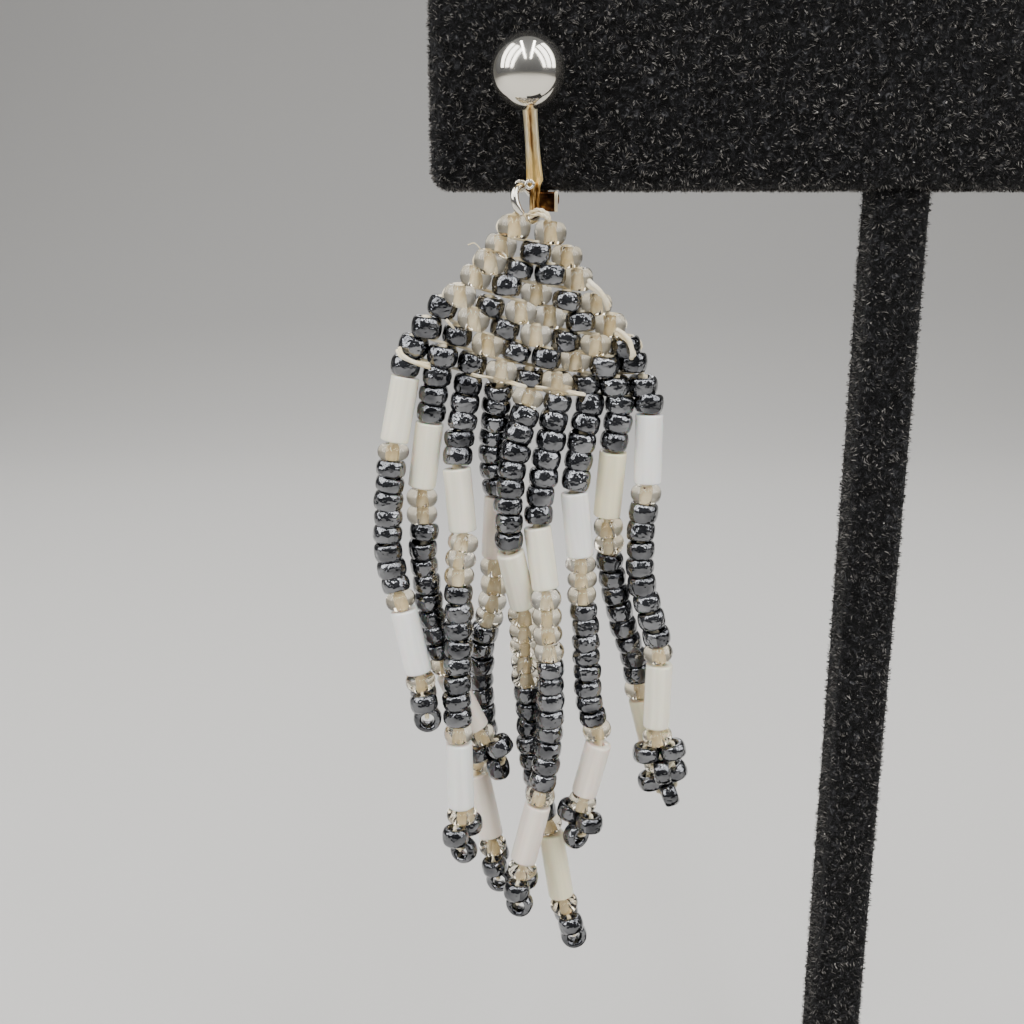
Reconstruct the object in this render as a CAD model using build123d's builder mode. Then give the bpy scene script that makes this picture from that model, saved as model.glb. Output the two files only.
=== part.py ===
"""A beaded clip-on earring, clipped on the padded bar of a T-shaped display stand.

Millimetres, +Z up, +X to the wearer's left as the front is seen, -Y to the front. The origin is the
centre of the foot plate's underside, straight under the post.
"""

import os
from collections import namedtuple
from math import cos, radians, sin, sqrt, tan

from build123d import *

os.makedirs("parts", exist_ok=True)

# Display stand
BASE_WIDTH = 64.0
BASE_DEPTH = 42.0
BASE_THICKNESS = 6.0
BASE_CORNER = 4.0
POST_SIDE = 4.2
POST_HEIGHT = 92.0
POST_SEAT = 3.0
BAR_LENGTH = 69.6
BAR_HEIGHT = 20.0
BAR_THICKNESS = 6.0
PAD_EDGE = 1.4
SEAT_GAP = 0.05

# Clip-on finding
BALL_DIAMETER = 5.0
BALL_FROM_BAR_END = 7.0
BALL_ABOVE_BAR_FOOT = 8.0
BALL_SOLDER = 0.3
STRIP_THICKNESS = 0.45
STRIP_TOP_WIDTH = 1.3
STRIP_WAIST_WIDTH = 1.0
STRIP_FOOT_WIDTH = 1.2
STRIP_LEAN = 0.55
STRIP_FOOT_RISE = 0.35
TAIL_WIDTH = 0.75
TAIL_LENGTH = 1.4
BRACKET_OFFSET = 0.8
BRACKET_WIDTH = 1.7
BRACKET_DEPTH = 2.3
BRACKET_HEIGHT = 1.15
EAR_THICKNESS = 0.36
PIN_DIAMETER = 0.44
PIN_HEAD_DIAMETER = 0.75
PIN_HEAD_THICKNESS = 0.14
PIN_FROM_EAR_BACK = 0.7
PIN_CLEARANCE = 0.03
EYE_BORE = 0.66
EYE_WIRE = 0.2
RIVET_DIAMETER = 0.8
RIVET_HEIGHT = 0.2
LEVER_BARREL = 1.05
LEVER_THICKNESS = 0.42
LEVER_BEND = 1.3
LEVER_TOP_WIDTH = 2.2
PAD_DIAMETER = 5.6
PAD_THICKNESS = 0.7
CLIP_GAP = 0.12

# Jump ring
RING_DIAMETER = 3.1
RING_WIRE = 0.5
RING_LEAN = 18.0
RING_TURN = 9.0
RING_OPENING = 22.0
RING_OPENING_AT = 228.0
RING_SLACK = 0.08

# Beadwork
BEAD_DIAMETER = 2.1
BEAD_BORE = 0.85
BEAD_PITCH = 1.42
CLEAR_DIAMETER = 2.3
CLEAR_LENGTH = 1.25
BUGLE_DIAMETER = 2.15
BUGLE_BORE = 0.9
BUGLE_LENGTH = 5.3
THREAD_DIAMETER = 0.45
SEAM = 0.1
ARC_SHARE = 0.45
ROWS = 8
ROW_PITCH = 1.55
COLUMN_PITCH = 2.2
FRINGE_PITCH = 2.3
PANEL_TILT = -9.6
PANEL_END_RISE = 0.95
PANEL_TURN = 4.0
NOTCH_CLEARANCE = 0.14
NOTCH_DEPTH = 0.95
LOOP_RISE = 0.42
LOOP_THREAD = 0.5
LOOP_TUCK = 0.7
THREAD_TUCK = 0.7

# Each stretch of a strand, from the panel down: what it is, how many beads it holds, and how many
# degrees it leans to the right and to the back. The strands hang as crooked as the stiff thread
# left them. upper and middle are how closely the uneven beads above and below the first bugle sit,
# as shares of the pitch. tubes are the lengths that its two bugles were cut to, as shares of their
# nominal length, and picot turns the three beads at the end about the strand.
Stretch = namedtuple("Stretch", "piece beads right back")
Strand = namedtuple("Strand", "upper middle tubes picot stretches")
STRANDS = [
    Strand(0.9, 0.93, (0.94, 0.99), 95, [
        Stretch("beads", 1, -7, -2),
        Stretch("bugle", 0, -11, -5),
        Stretch("beads", 3, -7, -3),
        Stretch("beads", 3, -2, -3),
        Stretch("beads", 2, 6, -4),
        Stretch("beads", 2, 18, -4),
        Stretch("bugle", 0, 12, -2),
        Stretch("end", 1, 9, 0),
    ]),
    Strand(0.97, 1.0, (0.96, 1.0), -20, [
        Stretch("beads", 3, -10, -1),
        Stretch("bugle", 0, -8, 0),
        Stretch("beads", 2, 1, 1),
        Stretch("beads", 3, 1, 2),
        Stretch("beads", 3, 7, 3),
        Stretch("beads", 3, 15, 3),
        Stretch("bugle", 0, 25, 0),
        Stretch("end", 1, 27, 1),
    ]),
    Strand(0.97, 1.01, (0.93, 1.07), 60, [
        Stretch("beads", 2, -11, -5),
        Stretch("beads", 3, -7, -5),
        Stretch("bugle", 0, 5, -4),
        Stretch("beads", 2, -8, -7),
        Stretch("beads", 3, 1, -6),
        Stretch("beads", 4, -3, -1),
        Stretch("beads", 3, 2, 0),
        Stretch("bugle", 0, 1, 0),
        Stretch("end", 1, 3, 0),
    ]),
    Strand(0.91, 1.08, (0.95, 1.06), 86, [
        Stretch("beads", 3, -8, 13),
        Stretch("beads", 2, -2, 10),
        Stretch("beads", 2, 10, 3),
        Stretch("bugle", 0, -3, 1),
        Stretch("beads", 2, 0, 3),
        Stretch("beads", 4, -13, 9),
        Stretch("beads", 3, 3, 6),
        Stretch("beads", 2, 6, 2),
        Stretch("beads", 2, -16, -1),
        Stretch("bugle", 0, 12, -9),
        Stretch("end", 1, 10, -2),
    ]),
    Strand(0.97, 1.06, (0.97, 1.13), -80, [
        Stretch("beads", 3, -15, -12),
        Stretch("beads", 3, -8, -5),
        Stretch("beads", 3, 1, -1),
        Stretch("bugle", 0, 12, 15),
        Stretch("beads", 3, 1, 8),
        Stretch("beads", 3, 4, 7),
        Stretch("beads", 3, 3, 3),
        Stretch("beads", 3, 11, 1),
        Stretch("beads", 2, 17, -3),
        Stretch("bugle", 0, 9, -1),
        Stretch("end", 1, 16, 0),
    ]),
    Strand(1.03, 1.0, (0.94, 1.0), 70, [
        Stretch("beads", 3, -12, -7),
        Stretch("beads", 2, -10, -5),
        Stretch("beads", 2, -7, -3),
        Stretch("bugle", 0, 8, -4),
        Stretch("beads", 3, 3, -2),
        Stretch("beads", 3, 5, -1),
        Stretch("beads", 4, -4, 0),
        Stretch("beads", 3, -9, -1),
        Stretch("bugle", 0, -13, 1),
        Stretch("end", 1, -4, 0),
    ]),
    Strand(1.04, 0.91, (0.97, 0.9), -45, [
        Stretch("beads", 3, -10, -4),
        Stretch("beads", 2, -8, -3),
        Stretch("bugle", 0, 6, -2),
        Stretch("beads", 3, 3, -2),
        Stretch("beads", 3, 7, -1),
        Stretch("beads", 3, 0, -2),
        Stretch("beads", 3, 16, -4),
        Stretch("bugle", 0, -13, 3),
        Stretch("end", 1, -9, 2),
    ]),
    Strand(1.0, 1.05, (1.0, 1.0), 8, [
        Stretch("beads", 3, -6, 0),
        Stretch("bugle", 0, -4, 4),
        Stretch("beads", 3, 5, 5),
        Stretch("beads", 3, 13, 7),
        Stretch("beads", 3, 18, 6),
        Stretch("beads", 2, 9, 4),
        Stretch("bugle", 0, 14, 1),
        Stretch("end", 1, 20, 1),
    ]),
    Strand(1.0, 1.05, (1.02, 1.03), -5, [
        Stretch("beads", 1, -3, 0),
        Stretch("bugle", 0, 0, -2),
        Stretch("beads", 2, -6, -2),
        Stretch("beads", 3, -2, -2),
        Stretch("beads", 3, 17, -2),
        Stretch("beads", 2, 10, 0),
        Stretch("bugle", 0, -1, 0),
        Stretch("end", 1, 9, 0),
    ]),
]

# Places worked out from the sizes above
base_top = BASE_THICKNESS
bar_foot = base_top + POST_HEIGHT
bar_front = -BAR_THICKNESS / 2
bar_back = BAR_THICKNESS / 2
strip_back = bar_front - CLIP_GAP
strip_front = strip_back - STRIP_THICKNESS
ball_x = -BAR_LENGTH / 2 + BALL_FROM_BAR_END
ball_y = strip_front - BALL_DIAMETER / 2 + BALL_SOLDER
ball_z = bar_foot + BALL_ABOVE_BAR_FOOT
strip_foot_x = ball_x + STRIP_LEAN
strip_foot_z = bar_foot + STRIP_FOOT_RISE
bracket_x = strip_foot_x + BRACKET_OFFSET
bracket_top = bar_foot - CLIP_GAP
bracket_foot = bracket_top - BRACKET_HEIGHT
bracket_front = strip_back
bracket_back = bracket_front + BRACKET_DEPTH
pin_y = bracket_back - PIN_FROM_EAR_BACK
pin_z = bracket_top - BRACKET_HEIGHT / 2

# Stand, a foot plate, a slim post and a padded crossbar, all covered in velvet
with BuildPart() as stand_base:
    with BuildSketch():
        RectangleRounded(BASE_WIDTH, BASE_DEPTH, BASE_CORNER)
    extrude(amount=BASE_THICKNESS)
    fillet(stand_base.faces().sort_by(Axis.Z)[-1].edges(), radius=PAD_EDGE)
    with BuildSketch(Plane.XY.offset(base_top - POST_SEAT)):
        Rectangle(POST_SIDE + 2 * SEAT_GAP, POST_SIDE + 2 * SEAT_GAP)
    extrude(amount=POST_SEAT, mode=Mode.SUBTRACT)
stand_base.part.label = "stand_base"

with BuildPart() as stand_post:
    with BuildSketch(Plane.XY.offset(base_top - POST_SEAT + SEAT_GAP)):
        Rectangle(POST_SIDE, POST_SIDE)
    extrude(amount=POST_HEIGHT + 2 * (POST_SEAT - SEAT_GAP))
    fillet(stand_post.edges().filter_by(Axis.Z), radius=PAD_EDGE / 2)
stand_post.part.label = "stand_post"

with BuildPart() as stand_crossbar:
    with BuildSketch(Plane.XY.offset(bar_foot)):
        Rectangle(BAR_LENGTH, BAR_THICKNESS)
    extrude(amount=BAR_HEIGHT)
    fillet(stand_crossbar.edges(), radius=PAD_EDGE)
    with BuildSketch(Plane.XY.offset(bar_foot)):
        Rectangle(POST_SIDE + 2 * SEAT_GAP, POST_SIDE + 2 * SEAT_GAP)
    extrude(amount=POST_SEAT, mode=Mode.SUBTRACT)
stand_crossbar.part.label = "stand_crossbar"

# Front of the clip, a polished ball on a narrow strip, with the bracket of the hinge turned back
# under the bar and a small eye for the jump ring, soldered into one piece
eye_x = strip_foot_x - STRIP_FOOT_WIDTH / 2 - EYE_BORE / 2 - EYE_WIRE / 2
eye_y = (strip_back + strip_front) / 2
eye_z = strip_foot_z - EYE_BORE / 10
waist_x = (ball_x + strip_foot_x) / 2
waist_z = (ball_z + strip_foot_z) / 2

with BuildPart() as clip_front:
    with Locations((ball_x, ball_y, ball_z)):
        Sphere(BALL_DIAMETER / 2)
    with BuildSketch(Plane.XZ.offset(-strip_back)):
        with BuildLine():
            Line((ball_x - STRIP_TOP_WIDTH / 2, ball_z), (ball_x + STRIP_TOP_WIDTH / 2, ball_z))
            ThreePointArc(
                (ball_x + STRIP_TOP_WIDTH / 2, ball_z),
                (waist_x + STRIP_WAIST_WIDTH / 2, waist_z),
                (strip_foot_x + STRIP_FOOT_WIDTH / 2, strip_foot_z),
            )
            Line(
                (strip_foot_x + STRIP_FOOT_WIDTH / 2, strip_foot_z),
                (strip_foot_x - STRIP_FOOT_WIDTH / 2, strip_foot_z),
            )
            ThreePointArc(
                (strip_foot_x - STRIP_FOOT_WIDTH / 2, strip_foot_z),
                (waist_x - STRIP_WAIST_WIDTH / 2, waist_z),
                (ball_x - STRIP_TOP_WIDTH / 2, ball_z),
            )
        make_face()
    extrude(amount=STRIP_THICKNESS)
    with BuildSketch(Plane.XZ.offset(-strip_back)):
        with Locations((strip_foot_x, strip_foot_z - TAIL_LENGTH / 2)):
            Rectangle(TAIL_WIDTH, TAIL_LENGTH + STRIP_THICKNESS)
    extrude(amount=STRIP_THICKNESS)
    with BuildSketch(Plane.XZ.offset(-strip_front)):
        with Locations((strip_foot_x - TAIL_WIDTH / 2, strip_foot_z)):
            Circle(RIVET_DIAMETER / 2)
    extrude(amount=RIVET_HEIGHT)
    with BuildSketch(Plane.XY.offset(bracket_foot)):
        with Locations((bracket_x, (bracket_front + bracket_back) / 2 - STRIP_THICKNESS / 4)):
            Rectangle(BRACKET_WIDTH, BRACKET_DEPTH + STRIP_THICKNESS / 2)
        with Locations((bracket_x, (bracket_front + bracket_back) / 2 + EAR_THICKNESS / 2)):
            Rectangle(
                BRACKET_WIDTH - 2 * EAR_THICKNESS,
                BRACKET_DEPTH - EAR_THICKNESS,
                mode=Mode.SUBTRACT,
            )
    extrude(amount=BRACKET_HEIGHT)
    with BuildSketch(Plane.YZ.offset(bracket_x)):
        with Locations((pin_y, pin_z)):
            Circle(PIN_DIAMETER / 2 + PIN_CLEARANCE)
    extrude(amount=BRACKET_WIDTH, both=True, mode=Mode.SUBTRACT)
    with Locations(Location((eye_x, eye_y, eye_z), (90, 0, 0))):
        Torus((EYE_BORE + EYE_WIRE) / 2, EYE_WIRE / 2)
clip_front.part.label = "clip_front"

# Hinge pin, passed through both ears and headed at its ends
with BuildPart() as clip_pin:
    with BuildSketch(Plane.YZ.offset(bracket_x - BRACKET_WIDTH / 2 - SEAM / 2 - PIN_HEAD_THICKNESS)):
        with Locations((pin_y, pin_z)):
            Circle(PIN_HEAD_DIAMETER / 2)
    extrude(amount=PIN_HEAD_THICKNESS)
    with BuildSketch(Plane.YZ.offset(bracket_x - BRACKET_WIDTH / 2 - SEAM / 2)):
        with Locations((pin_y, pin_z)):
            Circle(PIN_DIAMETER / 2)
    extrude(amount=BRACKET_WIDTH + SEAM)
    with BuildSketch(Plane.YZ.offset(bracket_x + BRACKET_WIDTH / 2 + SEAM / 2)):
        with Locations((pin_y, pin_z)):
            Circle(PIN_HEAD_DIAMETER / 2)
    extrude(amount=PIN_HEAD_THICKNESS)
clip_pin.part.label = "clip_pin"

# Back lever, a strip rolled round the pin, bent up behind the bar, with a round pressure pad
lever_width = BRACKET_WIDTH - 2 * EAR_THICKNESS - 2 * SEAM
pad_front = bar_back + CLIP_GAP
lever_y = pad_front + PAD_THICKNESS
lever_low = pin_z - LEVER_BARREL / 2 + LEVER_THICKNESS / 2
lever_taper_z = bar_foot + LEVER_BEND

with BuildPart() as clip_lever:
    with BuildSketch(Plane.YZ.offset(bracket_x)):
        with Locations((pin_y, pin_z)):
            Circle(LEVER_BARREL / 2)
    extrude(amount=lever_width / 2, both=True)
    with BuildSketch(Plane.YZ.offset(bracket_x)):
        with BuildLine():
            FilletPolyline(
                (pin_y, lever_low + LEVER_THICKNESS / 2),
                (lever_y, lever_low + LEVER_THICKNESS / 2),
                (lever_y, ball_z),
                radius=LEVER_BEND - LEVER_THICKNESS,
            )
            Line((lever_y, ball_z), (lever_y + LEVER_THICKNESS, ball_z))
            FilletPolyline(
                (lever_y + LEVER_THICKNESS, ball_z),
                (lever_y + LEVER_THICKNESS, lever_low - LEVER_THICKNESS / 2),
                (pin_y, lever_low - LEVER_THICKNESS / 2),
                radius=LEVER_BEND,
            )
            Line(
                (pin_y, lever_low - LEVER_THICKNESS / 2),
                (pin_y, lever_low + LEVER_THICKNESS / 2),
            )
        make_face()
    extrude(amount=lever_width / 2, both=True)
    with BuildSketch(Plane.XZ.offset(-lever_y)):
        with BuildLine():
            Polyline(
                (bracket_x - lever_width / 2, lever_taper_z),
                (bracket_x + lever_width / 2, lever_taper_z),
                (bracket_x + LEVER_TOP_WIDTH / 2, ball_z),
                (bracket_x - LEVER_TOP_WIDTH / 2, ball_z),
                close=True,
            )
        make_face()
    extrude(amount=-LEVER_THICKNESS)
    with BuildSketch(Plane.XZ.offset(-pad_front)):
        with Locations((bracket_x, ball_z)):
            Circle(PAD_DIAMETER / 2)
    extrude(amount=-PAD_THICKNESS)
    with BuildSketch(Plane.YZ.offset(bracket_x)):
        with Locations((pin_y, pin_z)):
            Circle(PIN_DIAMETER / 2 + PIN_CLEARANCE)
    extrude(amount=BRACKET_WIDTH, both=True, mode=Mode.SUBTRACT)
clip_lever.part.label = "clip_lever"

# Jump ring, bent from round wire and left slightly open low at the front
ring_radius = (RING_DIAMETER - RING_WIRE) / 2
ring_up = Vector(-sin(radians(RING_LEAN)), 0, cos(radians(RING_LEAN)))
ring_back = Vector(sin(radians(RING_TURN)), cos(radians(RING_TURN)), 0)
ring_hang = (EYE_BORE - RING_WIRE) / 2 - RING_SLACK
ring_top = Vector(eye_x, eye_y, eye_z - ring_hang)
ring_centre = ring_top - ring_up * ring_radius
ring_foot = ring_centre - ring_up * ring_radius
ring_plane = Plane(origin=ring_centre, x_dir=ring_back, z_dir=ring_back.cross(ring_up))

with BuildPart() as jump_ring:
    with BuildLine(ring_plane) as ring_path:
        CenterArc(
            (0, 0), ring_radius, RING_OPENING_AT + RING_OPENING / 2, 360 - RING_OPENING
        )
    with BuildSketch(Plane(origin=ring_path.line @ 0, z_dir=ring_path.line % 0)):
        Circle(RING_WIRE / 2)
    sweep()
jump_ring.part.label = "jump_ring"

# Brick-stitched panel, eight rows of beads, each one bead wider than the row above. The rows tilt
# down to the right, with their ends drawn up.
panel_x = ring_foot.X
panel_y = ring_foot.Y
panel_top = ring_foot.Z + RING_WIRE / 2 + SEAM - LOOP_RISE + LOOP_THREAD / 2
half_row = ROWS * COLUMN_PITCH / 2
panel_right = Vector(cos(radians(PANEL_TURN)), sin(radians(PANEL_TURN)), 0)
panel_plane = Plane(
    origin=(panel_x, panel_y, panel_top),
    x_dir=panel_right,
    z_dir=panel_right.cross(Vector(0, 0, 1)),
)


def row_line(across):
    """How far a row stands above its middle, at a distance across the panel."""
    return across * tan(radians(PANEL_TILT)) + PANEL_END_RISE * (across / half_row) ** 2


def row_square(across):
    """The way that points squarely down out of a row, at a distance across the panel."""
    slope = tan(radians(PANEL_TILT)) + 2 * PANEL_END_RISE * across / half_row**2
    return panel_right * slope - Vector(0, 0, 1)


def panel_point(across, down):
    """A place in the panel's middle plane."""
    return panel_plane.origin + panel_right * across + Vector(0, 0, row_line(across) - down)


with BuildPart() as bead_panel:
    for row in range(ROWS):
        edge = (row + 2) * COLUMN_PITCH / 2
        row_top = -row * ROW_PITCH
        row_foot = row_top - ROW_PITCH - SEAM / 2
        with BuildSketch(panel_plane):
            with BuildLine():
                ThreePointArc(
                    (-edge, row_top + row_line(-edge)),
                    (0, row_top),
                    (edge, row_top + row_line(edge)),
                )
                Line((edge, row_top + row_line(edge)), (edge, row_foot + row_line(edge)))
                ThreePointArc(
                    (edge, row_foot + row_line(edge)),
                    (0, row_foot),
                    (-edge, row_foot + row_line(-edge)),
                )
                Line((-edge, row_foot + row_line(-edge)), (-edge, row_top + row_line(-edge)))
            make_face()
        extrude(amount=BEAD_DIAMETER / 2, both=True)
    with BuildSketch(panel_plane):
        with Locations((0, 0)):
            Rectangle(RING_WIRE + 2 * NOTCH_CLEARANCE, 2 * NOTCH_DEPTH)
    extrude(amount=BEAD_DIAMETER, both=True, mode=Mode.SUBTRACT)
    for side in (-1, 1):
        top = panel_point(side * COLUMN_PITCH / 2, 0)
        with BuildSketch(Plane(origin=top + Vector(0, 0, SEAM), z_dir=(0, 0, -1))):
            Circle(BEAD_BORE / 2)
        extrude(amount=LOOP_TUCK + 2 * SEAM, mode=Mode.SUBTRACT)
    for number in range(len(STRANDS)):
        across = (number - (len(STRANDS) - 1) / 2) * FRINGE_PITCH
        foot = panel_point(across, ROWS * ROW_PITCH + 3 * SEAM)
        with BuildSketch(Plane(origin=foot, z_dir=(0, 0, 1))):
            Circle(BEAD_BORE / 2 + SEAM)
        extrude(amount=THREAD_TUCK + 3 * SEAM, mode=Mode.SUBTRACT)
bead_panel.part.label = "bead_panel"

# Hanging loop, the bundle of thread that goes over the ring from one top bead to the other
with BuildPart() as hanging_loop:
    left = panel_point(-COLUMN_PITCH / 2, 0)
    right = panel_point(COLUMN_PITCH / 2, 0)
    rise = Vector(0, 0, LOOP_RISE)
    tuck = Vector(0, 0, -LOOP_TUCK)
    with BuildLine() as loop_path:
        FilletPolyline(left + tuck, left + rise, right + rise, right + tuck, radius=LOOP_THREAD)
    with BuildSketch(Plane(origin=loop_path.line @ 0, z_dir=loop_path.line % 0)):
        Circle(LOOP_THREAD / 2)
    sweep()
hanging_loop.part.label = "hanging_loop"


def lean(stretch):
    """The way down a stretch, from how it leans."""
    right = sin(radians(stretch.right))
    back = sin(radians(stretch.back))
    return Vector(right, back, -sqrt(1 - right**2 - back**2))


def trim(before, after):
    """How far two drilled ends stand back from the corner between them."""
    return SEAM / 2 + BUGLE_DIAMETER / 2 * tan(radians(before.get_angle(after)) / 2)


def panel_trim(across, way):
    """How far the first bead's end stands back from the panel's underside."""
    return SEAM / 2 + BEAD_DIAMETER / 2 * tan(radians(row_square(across).get_angle(way)))


def corner_radius(before, after, shorter):
    """As large an arc as two runs of a string allow."""
    return ARC_SHARE * shorter / tan(radians(before.get_angle(after)) / 2)


def along(points, radii):
    """A path of straight runs joined by tangent arcs, inside the open line builder."""
    if radii:
        FilletPolyline(*points, radius=radii)
    else:
        Line(*points)


# Each strand's route, from the underside of the panel to the foot of its last bugle bead
Route = namedtuple("Route", "ways lengths corners trims tubes")


def route_of(number, strand):
    ways = [lean(stretch) for stretch in strand.stretches]
    across = (number - (len(STRANDS) - 1) / 2) * FRINGE_PITCH
    trims = [panel_trim(across, ways[0])] + [trim(a, b) for a, b in zip(ways, ways[1:])]
    corners = [panel_point(across, ROWS * ROW_PITCH + SEAM / 2)]
    lengths, tubes = [], []
    spacing = strand.upper
    for i, stretch in enumerate(strand.stretches):
        if stretch.piece == "bugle":
            tube = BUGLE_LENGTH * strand.tubes[len(tubes)]
            tubes.append(tube)
            length = tube + trims[i] + trims[i + 1]
            spacing = strand.middle
        elif stretch.piece == "beads":
            length = stretch.beads * BEAD_PITCH * spacing + (trims[0] if i == 0 else 0)
        else:
            length = trims[i] + CLEAR_LENGTH
        lengths.append(length)
        corners.append(corners[-1] + ways[i] * length)
    return Route(ways, lengths, corners, trims, tubes)


routes = [route_of(number, strand) for number, strand in enumerate(STRANDS)]


def drilled(start, way, length, diameter, bore):
    """A bead drilled from end to end."""
    with BuildPart() as bead:
        with BuildSketch(Plane(origin=start, z_dir=way)):
            Circle(diameter / 2)
            Circle(bore / 2, mode=Mode.SUBTRACT)
        extrude(amount=length)
    return bead.part


# Bugle beads, straight tubes of satin glass, two on each strand
for number, (strand, route) in enumerate(zip(STRANDS, routes), 1):
    bugles = [i for i, stretch in enumerate(strand.stretches) if stretch.piece == "bugle"]
    for place, i, tube in zip(("upper", "lower"), bugles, route.tubes):
        with BuildPart() as bugle:
            start = route.corners[i] + route.ways[i] * route.trims[i]
            add(drilled(start, route.ways[i], tube, BUGLE_DIAMETER, BUGLE_BORE))
        bugle.part.label = f"bugle_{number}_{place}"
        export_step(bugle.part, f"parts/bugle_{number}_{place}.step")

# Strings of seed beads, each a drilled tube between two bugles, and below the last bugle a clear
# bead and the picot: two beads side by side and one across under them
for number, (strand, route) in enumerate(zip(STRANDS, routes), 1):
    with BuildPart() as fringe:
        first = 0
        while first < len(strand.stretches):
            if strand.stretches[first].piece != "beads":
                first += 1
                continue
            last = first
            while strand.stretches[last + 1].piece == "beads":
                last += 1
            radii = [
                corner_radius(
                    route.ways[i], route.ways[i + 1], min(route.lengths[i], route.lengths[i + 1])
                )
                for i in range(first, last)
            ]
            points = list(route.corners[first : last + 2])
            points[0] += route.ways[first] * route.trims[first]
            points[-1] -= route.ways[last] * route.trims[last + 1]
            with BuildLine() as string_path:
                along(points, radii)
            with BuildSketch(Plane(origin=points[0], z_dir=route.ways[first])):
                Circle(BEAD_DIAMETER / 2)
                Circle(BEAD_BORE / 2, mode=Mode.SUBTRACT)
            sweep()
            first = last + 1
        down = route.ways[-1]
        clear_top = route.corners[-2] + down * route.trims[-1]
        add(drilled(clear_top, down, CLEAR_LENGTH, CLEAR_DIAMETER, BEAD_BORE))
        turn = radians(strand.picot)
        side = Vector(cos(turn), sin(turn), 0)
        side = (side - down * side.dot(down)).normalized()
        pair_top = clear_top + down * (CLEAR_LENGTH + SEAM)
        bead_length = BEAD_PITCH - SEAM
        for hand in (-1, 1):
            start = pair_top + side * (hand * (BEAD_DIAMETER + SEAM) / 2)
            add(drilled(start, down, bead_length, BEAD_DIAMETER, BEAD_BORE))
        turn_start = pair_top + down * (bead_length + SEAM + BEAD_DIAMETER / 2)
        turn_start -= side * (bead_length / 2)
        add(drilled(turn_start, side, bead_length, BEAD_DIAMETER, BEAD_BORE))
    fringe.part.label = f"fringe_{number}"
    export_step(fringe.part, f"parts/fringe_{number}.step")

# Threads, one through every bead of a strand, from inside the panel to the end of the clear bead
for number, (strand, route) in enumerate(zip(STRANDS, routes), 1):
    radii = []
    for i, (before, after) in enumerate(zip(strand.stretches, strand.stretches[1:])):
        if before.piece == after.piece == "beads":
            shorter = min(route.lengths[i], route.lengths[i + 1])
            radii.append(corner_radius(route.ways[i], route.ways[i + 1], shorter))
        else:
            half_turn = radians(route.ways[i].get_angle(route.ways[i + 1])) / 2
            radii.append(route.trims[i + 1] / tan(half_turn))
    points = list(route.corners)
    points[0] -= route.ways[0] * (THREAD_TUCK - 2 * SEAM)
    with BuildPart() as thread:
        with BuildLine() as thread_path:
            along(points, radii)
        with BuildSketch(Plane(origin=points[0], z_dir=route.ways[0])):
            Circle(THREAD_DIAMETER / 2)
        sweep()
    thread.part.label = f"thread_{number}"
    export_step(thread.part, f"parts/thread_{number}.step")

for piece in (
    stand_base,
    stand_post,
    stand_crossbar,
    clip_front,
    clip_pin,
    clip_lever,
    jump_ring,
    bead_panel,
    hanging_loop,
):
    export_step(piece.part, f"parts/{piece.part.label}.step")
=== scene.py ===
"""A beaded clip-on earring on a velvet T-bar stand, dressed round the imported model.

Metres, +Z up, -Y to the front, origin under the post on the underside of the foot plate."""

import math
from collections import namedtuple

import bmesh
import bpy
import numpy as np
from mathutils import Matrix, Vector


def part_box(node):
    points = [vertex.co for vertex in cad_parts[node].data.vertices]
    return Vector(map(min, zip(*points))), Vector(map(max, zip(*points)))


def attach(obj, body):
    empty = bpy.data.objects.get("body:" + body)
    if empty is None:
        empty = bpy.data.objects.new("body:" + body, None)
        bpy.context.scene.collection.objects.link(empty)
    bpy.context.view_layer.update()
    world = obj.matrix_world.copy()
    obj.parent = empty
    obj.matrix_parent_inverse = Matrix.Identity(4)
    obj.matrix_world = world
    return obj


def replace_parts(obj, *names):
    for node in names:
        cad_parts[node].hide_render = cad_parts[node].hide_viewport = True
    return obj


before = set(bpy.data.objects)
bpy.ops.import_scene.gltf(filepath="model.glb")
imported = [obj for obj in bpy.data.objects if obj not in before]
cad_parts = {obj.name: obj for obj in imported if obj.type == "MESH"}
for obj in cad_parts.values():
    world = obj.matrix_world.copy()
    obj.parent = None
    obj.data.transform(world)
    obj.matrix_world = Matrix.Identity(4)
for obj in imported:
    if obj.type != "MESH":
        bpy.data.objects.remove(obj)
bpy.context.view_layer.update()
MM = 0.001
dice = np.random.default_rng(41)


# Stand: light board cut to shape and wrapped in black display velvet, a foot plate, a slim square
# post and a padded crossbar. The cloth is glued round soft edges. Its pile stands a quarter of a
# millimetre off the board in tangled tufts, is pressed flat under the clip, and picks up lint.
def linear(hex_colour):
    """An sRGB colour such as #e0d5c0 as the linear colour that a shader takes."""
    channels = [int(hex_colour[i : i + 2], 16) / 255 for i in (1, 3, 5)]
    return tuple(c / 12.92 if c <= 0.04045 else ((c + 0.055) / 1.055) ** 2.4 for c in channels) + (1,)


def add(tree, kind, settings=None, links=None, stops=()):
    """One shader node with its settings, what feeds its sockets, and a ramp's places and colours."""
    made = tree.nodes.new(kind)
    for key, value in (settings or {}).items():
        if isinstance(key, int) or key in made.inputs:
            made.inputs[key].default_value = value
        else:
            setattr(made, key, value)
    for key, source in (links or {}).items():
        tree.links.new(source, made.inputs[key])
    for n, (at, colour) in enumerate(stops):
        stop = made.color_ramp.elements[n] if n < 2 else made.color_ramp.elements.new(at)
        stop.position = at
        stop.color = linear(colour)
    return made


def material(name, settings):
    """A material and its one shader, with the shader's plain values set."""
    made = bpy.data.materials.new(name)
    made.use_nodes = True
    shader = made.node_tree.nodes["Principled BSDF"]
    for key, value in settings.items():
        shader.inputs[key].default_value = value
    return made, made.node_tree, shader


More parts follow.
